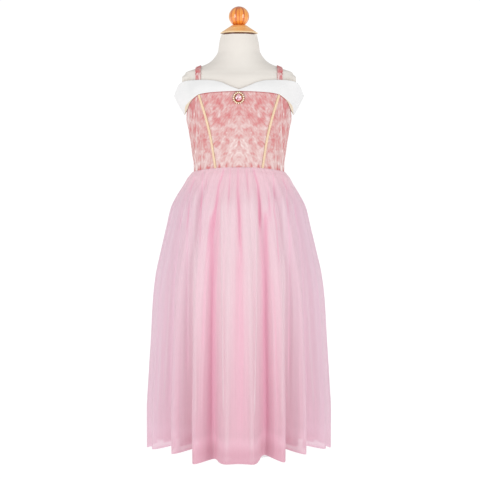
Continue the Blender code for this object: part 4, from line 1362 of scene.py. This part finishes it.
def add_underskirt(look):
    """The denser underskirt, front and back, with shallower folds."""
    made = {}
    for name, low, high in (("front", -SIDE, SIDE), ("back", SIDE, 3 * SIDE)):
        down = skirt_levels(90)
        gap = 0.5 * SEAM_GAP / 0.15
        waist = np.linspace(low + gap, high - gap, 241)
        angle, radius, z, _, trough = skirt_points(
            waist,
            down,
            WAIST_GAP + LINING,
            UNDERSKIRT_INSET,
            UNDERSKIRT_FOLDS,
            UNDERSKIRT_HEM_RISE,
        )
        ripple = 0.0016 * smooth_noise(waist * 22, down * 2, 51) * smoothstep(0.12, 0.5, down)
        outer = points_at(angle, radius + ripple, z)
        normals = np.cross(np.gradient(outer, axis=1), np.gradient(outer, axis=0))
        normals /= np.linalg.norm(normals, axis=-1, keepdims=True)
        normals *= np.sign((normals[..., :2] * outer[..., :2]).sum(axis=-1).mean())
        inner = outer - LINING * normals
        inner[0, :, 2] = outer[0, :, 2]
        node = "underskirt_" + name
        made[name] = add_wall(
            node + "_lining",
            outer,
            inner,
            look,
            [node],
            {
                "fold": np.clip(trough / 0.040, 0, 1),
                "cloth_u": waist * HEM_DEPTH,
                "cloth_v": down * (WAIST_SIDE_Z - HEM_Z),
            },
        )
    return made


def drop_outline(angle, half_width, half_height, point):
    """A drop's outline, its point up: (x, z) at angles from the top."""
    upper = np.clip(np.cos(angle), 0, 1)
    tip, narrow = 1 + point * upper**8, 1 - 0.8 * point * upper**1.5
    return np.stack([half_width * np.sin(angle) * narrow, half_height * np.cos(angle) * tip], axis=-1)


def drop_rings(outline, steps, place):
    """Rings of a lofted drop. The steps are (share of the outline, distance towards the front)."""
    rings = []
    for share, forward in steps:
        scaled = outline * np.asarray(share).reshape(-1, 1)
        rings.append(np.column_stack([scaled[:, 0], np.full(len(scaled), -forward), scaled[:, 1]]))
    return np.array(rings) + np.array(place)


def add_spheres(name, centres, radii, look, sides=12):
    """Small balls joined into one piece."""
    up = np.linspace(0.06, math.pi - 0.06, sides // 2 + 1)
    turn = np.arange(sides) * 2 * math.pi / sides
    ball = np.stack(
        [
            np.outer(np.sin(up), np.cos(turn)),
            np.outer(np.sin(up), np.sin(turn)),
            np.broadcast_to(np.cos(up)[:, None], (len(up), sides)),
        ],
        axis=-1,
    )
    number = np.arange(ball.size // 3).reshape(len(up), sides)
    closed = np.concatenate([number, number[:, :1]], axis=1)
    points, quads, caps = [], [], []
    for i, (centre, radius) in enumerate(zip(centres, radii)):
        first = i * number.size
        points.append(np.asarray(centre) + radius * ball.reshape(-1, 3))
        quads.append(grid_quads(closed) + first)
        caps += [(number[0, ::-1] + first).tolist(), (number[-1] + first).tolist()]
    return add_piece(name, np.concatenate(points), np.concatenate(quads), look, (), caps, sharp=None)


def add_brooch(gold, beads, crystal):
    """A faceted drop in a gold setting with a roped inner edge, ringed with beads."""
    place = (BROOCH_X, -(chest_radius(0.0, BROOCH_Z) + CLOTH_GAP + VELVET + BROOCH_GAP), BROOCH_Z)
    angle = np.arange(160) * 2 * math.pi / 160
    rope = 1 + 0.020 * np.cos(40 * angle)
    scallop = 1 + 0.030 * np.cos(BROOCH_BEADS * angle)
    steps = (
        (0.86, 0.0000),
        (0.90 * scallop, 0.0003),
        (0.97 * scallop, 0.0009),
        (0.96 * scallop, 0.0015),
        (0.88, 0.0017),
        (0.78, 0.0013),
        (0.69, 0.0016),
        (0.65 * rope, 0.0026),
        (0.61 * rope, 0.0030),
        (0.57 * rope, 0.0026),
        (0.54, 0.0016),
        (0.50, 0.0012),
    )
    outline = drop_outline(angle, BROOCH_HALF_WIDTH, BROOCH_HALF_HEIGHT, BROOCH_POINT)
    add_loft("brooch_setting_gold", drop_rings(outline, steps, place), gold, ["brooch_setting"])
    turn = (np.arange(BROOCH_BEADS) + 0.5) * 2 * math.pi / BROOCH_BEADS
    ring = drop_outline(turn, BROOCH_HALF_WIDTH, BROOCH_HALF_HEIGHT, BROOCH_POINT) * 0.82
    centres = np.column_stack([ring[:, 0], np.full(len(ring), -0.0021), ring[:, 1]]) + np.array(place)
    add_spheres("brooch_beads", centres, np.full(len(centres), 0.00200), beads)
    sides = 18
    angle = np.arange(sides) * 2 * math.pi / sides
    outline = drop_outline(angle, STONE_HALF_WIDTH, STONE_HALF_HEIGHT, STONE_POINT)
    twisted = drop_outline(angle + math.pi / sides, STONE_HALF_WIDTH, STONE_HALF_HEIGHT, STONE_POINT)
    stone = np.concatenate(
        [
            drop_rings(outline, ((0.80, 0.0017), (1.0, 0.0024)), place),
            drop_rings(twisted, ((0.80, 0.0042),), place),
            drop_rings(outline, ((0.52, 0.0053),), place),
        ]
    )
    add_loft("brooch_stone_crystal", stone, crystal, ["brooch_stone"], sharp=0)


def stitches(paths, length, thick):
    """Points and faces of small thread stitches, each a six-sided spindle from one point to the next."""
    sides = 6
    shares, widths = np.array([0.0, 0.18, 0.5, 0.82, 1.0]), np.array([0.25, 0.9, 1.0, 0.9, 0.25])
    turn = np.arange(sides) * 2 * math.pi / sides
    points, quads, caps = [], [], []
    number = np.arange(len(shares) * sides).reshape(len(shares), sides)
    closed = np.concatenate([number, number[:, :1]], axis=1)
    for start, along, out in paths:
        beside = np.cross(along, out)
        ring = np.outer(np.cos(turn), out) + np.outer(np.sin(turn), beside)
        lifted = start + 0.3 * thick * out
        sag = 0.6 * thick * np.sin(math.pi * shares)
        body = [
            lifted + along * length * share + out * rise + 0.5 * thick * width * ring
            for share, width, rise in zip(shares, widths, sag)
        ]
        first = len(quads) * number.size
        points.append(np.concatenate(body))
        quads.append(grid_quads(closed) + first)
        caps += [(number[0, ::-1] + first).tolist(), (number[-1] + first).tolist()]
    return np.concatenate(points), np.concatenate(quads), caps


def add_stitching(name, line, outwards, pitch, length, thick, look):
    """A row of stitches along a line of points, with the way out of the cloth at each point."""
    steps = np.linalg.norm(np.diff(line, axis=0), axis=1)
    travelled = np.concatenate([[0], np.cumsum(steps)])
    paths = []
    for start in np.arange(0.5 * pitch, travelled[-1] - length, pitch):
        here, there = (
            np.array([np.interp(s, travelled, line[:, k]) for k in range(3)])
            for s in (start, start + length)
        )
        out = np.array([np.interp(start, travelled, outwards[:, k]) for k in range(3)])
        along = (there - here) / np.linalg.norm(there - here)
        out = out - along * (out @ along)
        paths.append((here, along, out / np.linalg.norm(out)))
    points, quads, caps = stitches(paths, length, thick)
    return add_piece(name, points, quads, look, (), caps, sharp=None)


def add_trim_stitching(look):
    """Thread along both edges of each trim."""
    for side, word in ((1, "left"), (-1, "right")):
        for edge, which in ((-1, "a"), (1, "b")):
            z = np.linspace(waist_z(0.5) + 0.002, 0.815, 60)
            angle = side * princess_angle(z) + edge * (0.5 * TRIM_WIDTH + 0.0005) / CHEST
            radius = form_radius(angle, z) + CLOTH_GAP + VELVET
            line = points_at(angle, radius, z)
            outwards = points_at(angle, 1.0, 0.0)
            name = f"trim_stitches_{word}_{which}"
            add_stitching(name, line, outwards, 0.0026, 0.0018, 0.00045, look)


def add_form(look):
    """Torso, shoulders and neck, smooth under the jersey."""
    low = np.array([FORM_BOTTOM_Z, 0.5006, 0.5016, 0.5030, 0.5045, 0.5060])
    z = np.concatenate([low, np.arange(0.508, 0.806, 0.006), np.arange(0.806, NECK_TOP_Z - 0.001, 0.0016)])
    z = np.append(z, NECK_TOP_Z)[:, None]
    angle = np.arange(180) * 2 * math.pi / 180
    radius = form_radius(angle, np.broadcast_to(z, (len(z), len(angle))))
    add_loft("form_body_jersey", points_at(angle, radius, z), look, ["form_body"])


def turned_rings(profile, sides, z=0.0):
    """Rings of a turned solid from (radius, z) pairs."""
    angle = np.arange(sides) * 2 * math.pi / sides
    profile = np.array(profile)
    return points_at(angle, profile[:, :1], profile[:, 1:] + z)


def arc(centre, radius, start_deg, end_deg, count):
    """(radius, z) pairs round a small circle in a turned profile."""
    turn = np.radians(np.linspace(start_deg, end_deg, count))
    return [(centre[0] + radius * math.cos(t), centre[1] + radius * math.sin(t)) for t in turn]


def add_cap_and_knob(pale_wood, dark_wood):
    """A flared cap with a thin rounded rim on a narrower foot, and the ball on top of it."""
    rim_thick, rim_round = 0.0023, 0.0010
    top = CAP_TOP_Z - 0.0002
    flare = [
        (
            CAP_TOP_RADIUS + (CAP_RIM_RADIUS - rim_round - CAP_TOP_RADIUS) * share,
            top - (top - CAP_RIM_Z - rim_thick) * share,
        )
        for share in np.linspace(0.02, 1, 24)
    ]
    rim = arc((CAP_RIM_RADIUS - rim_round, CAP_RIM_Z + 1.3 * rim_round), rim_round, 70, -90, 10)
    foot = [(CAP_FOOT_RADIUS, CAP_RIM_Z + 0.0002), (CAP_FOOT_RADIUS, CAP_BOTTOM_Z), (0.001, CAP_BOTTOM_Z)]
    profile = [(0.001, top), (CAP_TOP_RADIUS - 0.0005, top), *flare, *rim, *foot]
    add_loft("form_cap_wood", turned_rings(profile, 120), pale_wood, ["form_cap"], sharp=35)
    bottom = CAP_TOP_Z + SEAM_GAP - KNOB_Z
    last = math.acos(bottom / KNOB_RADIUS)
    ball = [
        (KNOB_RADIUS * math.sin(turn), KNOB_RADIUS * math.cos(turn)) for turn in np.linspace(0.02, last, 60)
    ]
    rings = turned_rings([*ball, (0.001, bottom)], 96, KNOB_Z)
    add_loft("form_knob_wood", rings, dark_wood, ["form_knob"])


def add_plane(name, points, tint, glow):
    mesh = bpy.data.meshes.new(name)
    mesh.from_pydata(points, [], [tuple(range(len(points)))])
    look = Shade(name)
    mesh.materials.append(
        look.finish(Base_Color=tint, Roughness=0.9, Emission_Color=tint, Emission_Strength=glow)
    )
    made = bpy.data.objects.new(name, mesh)
    bpy.context.scene.collection.objects.link(made)
    return made


def add_area_light(name, place, target, width, height, power):
    light = bpy.data.lights.new(name, "AREA")
    light.shape = "RECTANGLE"
    light.size, light.size_y = width, height
    light.energy = power
    made = bpy.data.objects.new(name, light)
    made.location = place
    made.rotation_euler = (Vector(target) - Vector(place)).to_track_quat("-Z", "Y").to_euler()
    bpy.context.scene.collection.objects.link(made)
    return made


CAMERA_PLACE = (0.0023, -3.4, 0.62)
CAMERA_LENS = 110.9
CAMERA_SENSOR = 36.0
CAMERA_DIP = 2.23
FLOOR_REACH = 40.0
FLOOR_TINT = (0.06, 0.06, 0.06, 1.0)
FLOOR_GLOW = 16.4
SKY_LIGHT = 0.61
SKY_SEEN = 1.05
SOFT_BOX = (1.2, 1.9)
SOFT_BOX_AIM = (0, 0, 0.6)
SOFT_BOXES = (("key_left", (-2.2, -2.05, 1.05), 24.5), ("key_right", (2.2, -2.05, 1.0), 23))


def add_stage():
    """A white floor and sky, two tall soft boxes in front, and the photograph's camera."""
    reach = FLOOR_REACH
    corners = [(-reach, -reach, 0.0), (reach, -reach, 0.0), (reach, reach, 0.0), (-reach, reach, 0.0)]
    add_plane("floor", corners, FLOOR_TINT, FLOOR_GLOW)
    world = bpy.data.worlds.new("white_room")
    world.use_nodes = True
    tree = world.node_tree
    sky = tree.nodes["Background"]
    sky.inputs["Color"].default_value = (1.0, 1.0, 1.0, 1.0)
    seen = tree.nodes.new("ShaderNodeLightPath").outputs["Is Camera Ray"]
    strength = tree.nodes.new("ShaderNodeMapRange")
    strength.inputs["To Min"].default_value = SKY_LIGHT
    strength.inputs["To Max"].default_value = SKY_SEEN
    tree.links.new(seen, strength.inputs["Value"])
    tree.links.new(strength.outputs[0], sky.inputs["Strength"])
    bpy.context.scene.world = world
    for name, place, power in SOFT_BOXES:
        add_area_light(name, place, SOFT_BOX_AIM, *SOFT_BOX, power)
    camera = bpy.data.cameras.new("camera")
    camera.lens = CAMERA_LENS
    camera.sensor_width = CAMERA_SENSOR
    made = bpy.data.objects.new("camera", camera)
    made.location = CAMERA_PLACE
    made.rotation_euler = (math.radians(90 - CAMERA_DIP), 0, 0)
    bpy.context.scene.collection.objects.link(made)
    bpy.context.scene.camera = made


def build():
    velvet = velvet_look()
    bodice = add_bodice(velvet)
    trims = add_trims(trim_look())
    collar = add_collar(collar_look())
    straps = add_straps(velvet)
    tulle = add_tulle(tulle_look())
    lining = add_underskirt(lining_look())
    add_brooch(setting_look(), bead_look(), crystal_look())
    add_trim_stitching(thread_look("gold_thread", 226, 190, 130))
    add_form(jersey_look())
    add_cap_and_knob(pale_wood_look(), varnished_wood_look())
    steel = metal_look()
    for node in ("form_pole", "form_base"):
        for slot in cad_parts[node].material_slots:
            slot.material = steel
        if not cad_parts[node].material_slots:
            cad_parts[node].data.materials.append(steel)


build()
add_stage()
bpy.context.scene.view_settings.view_transform = "Standard"
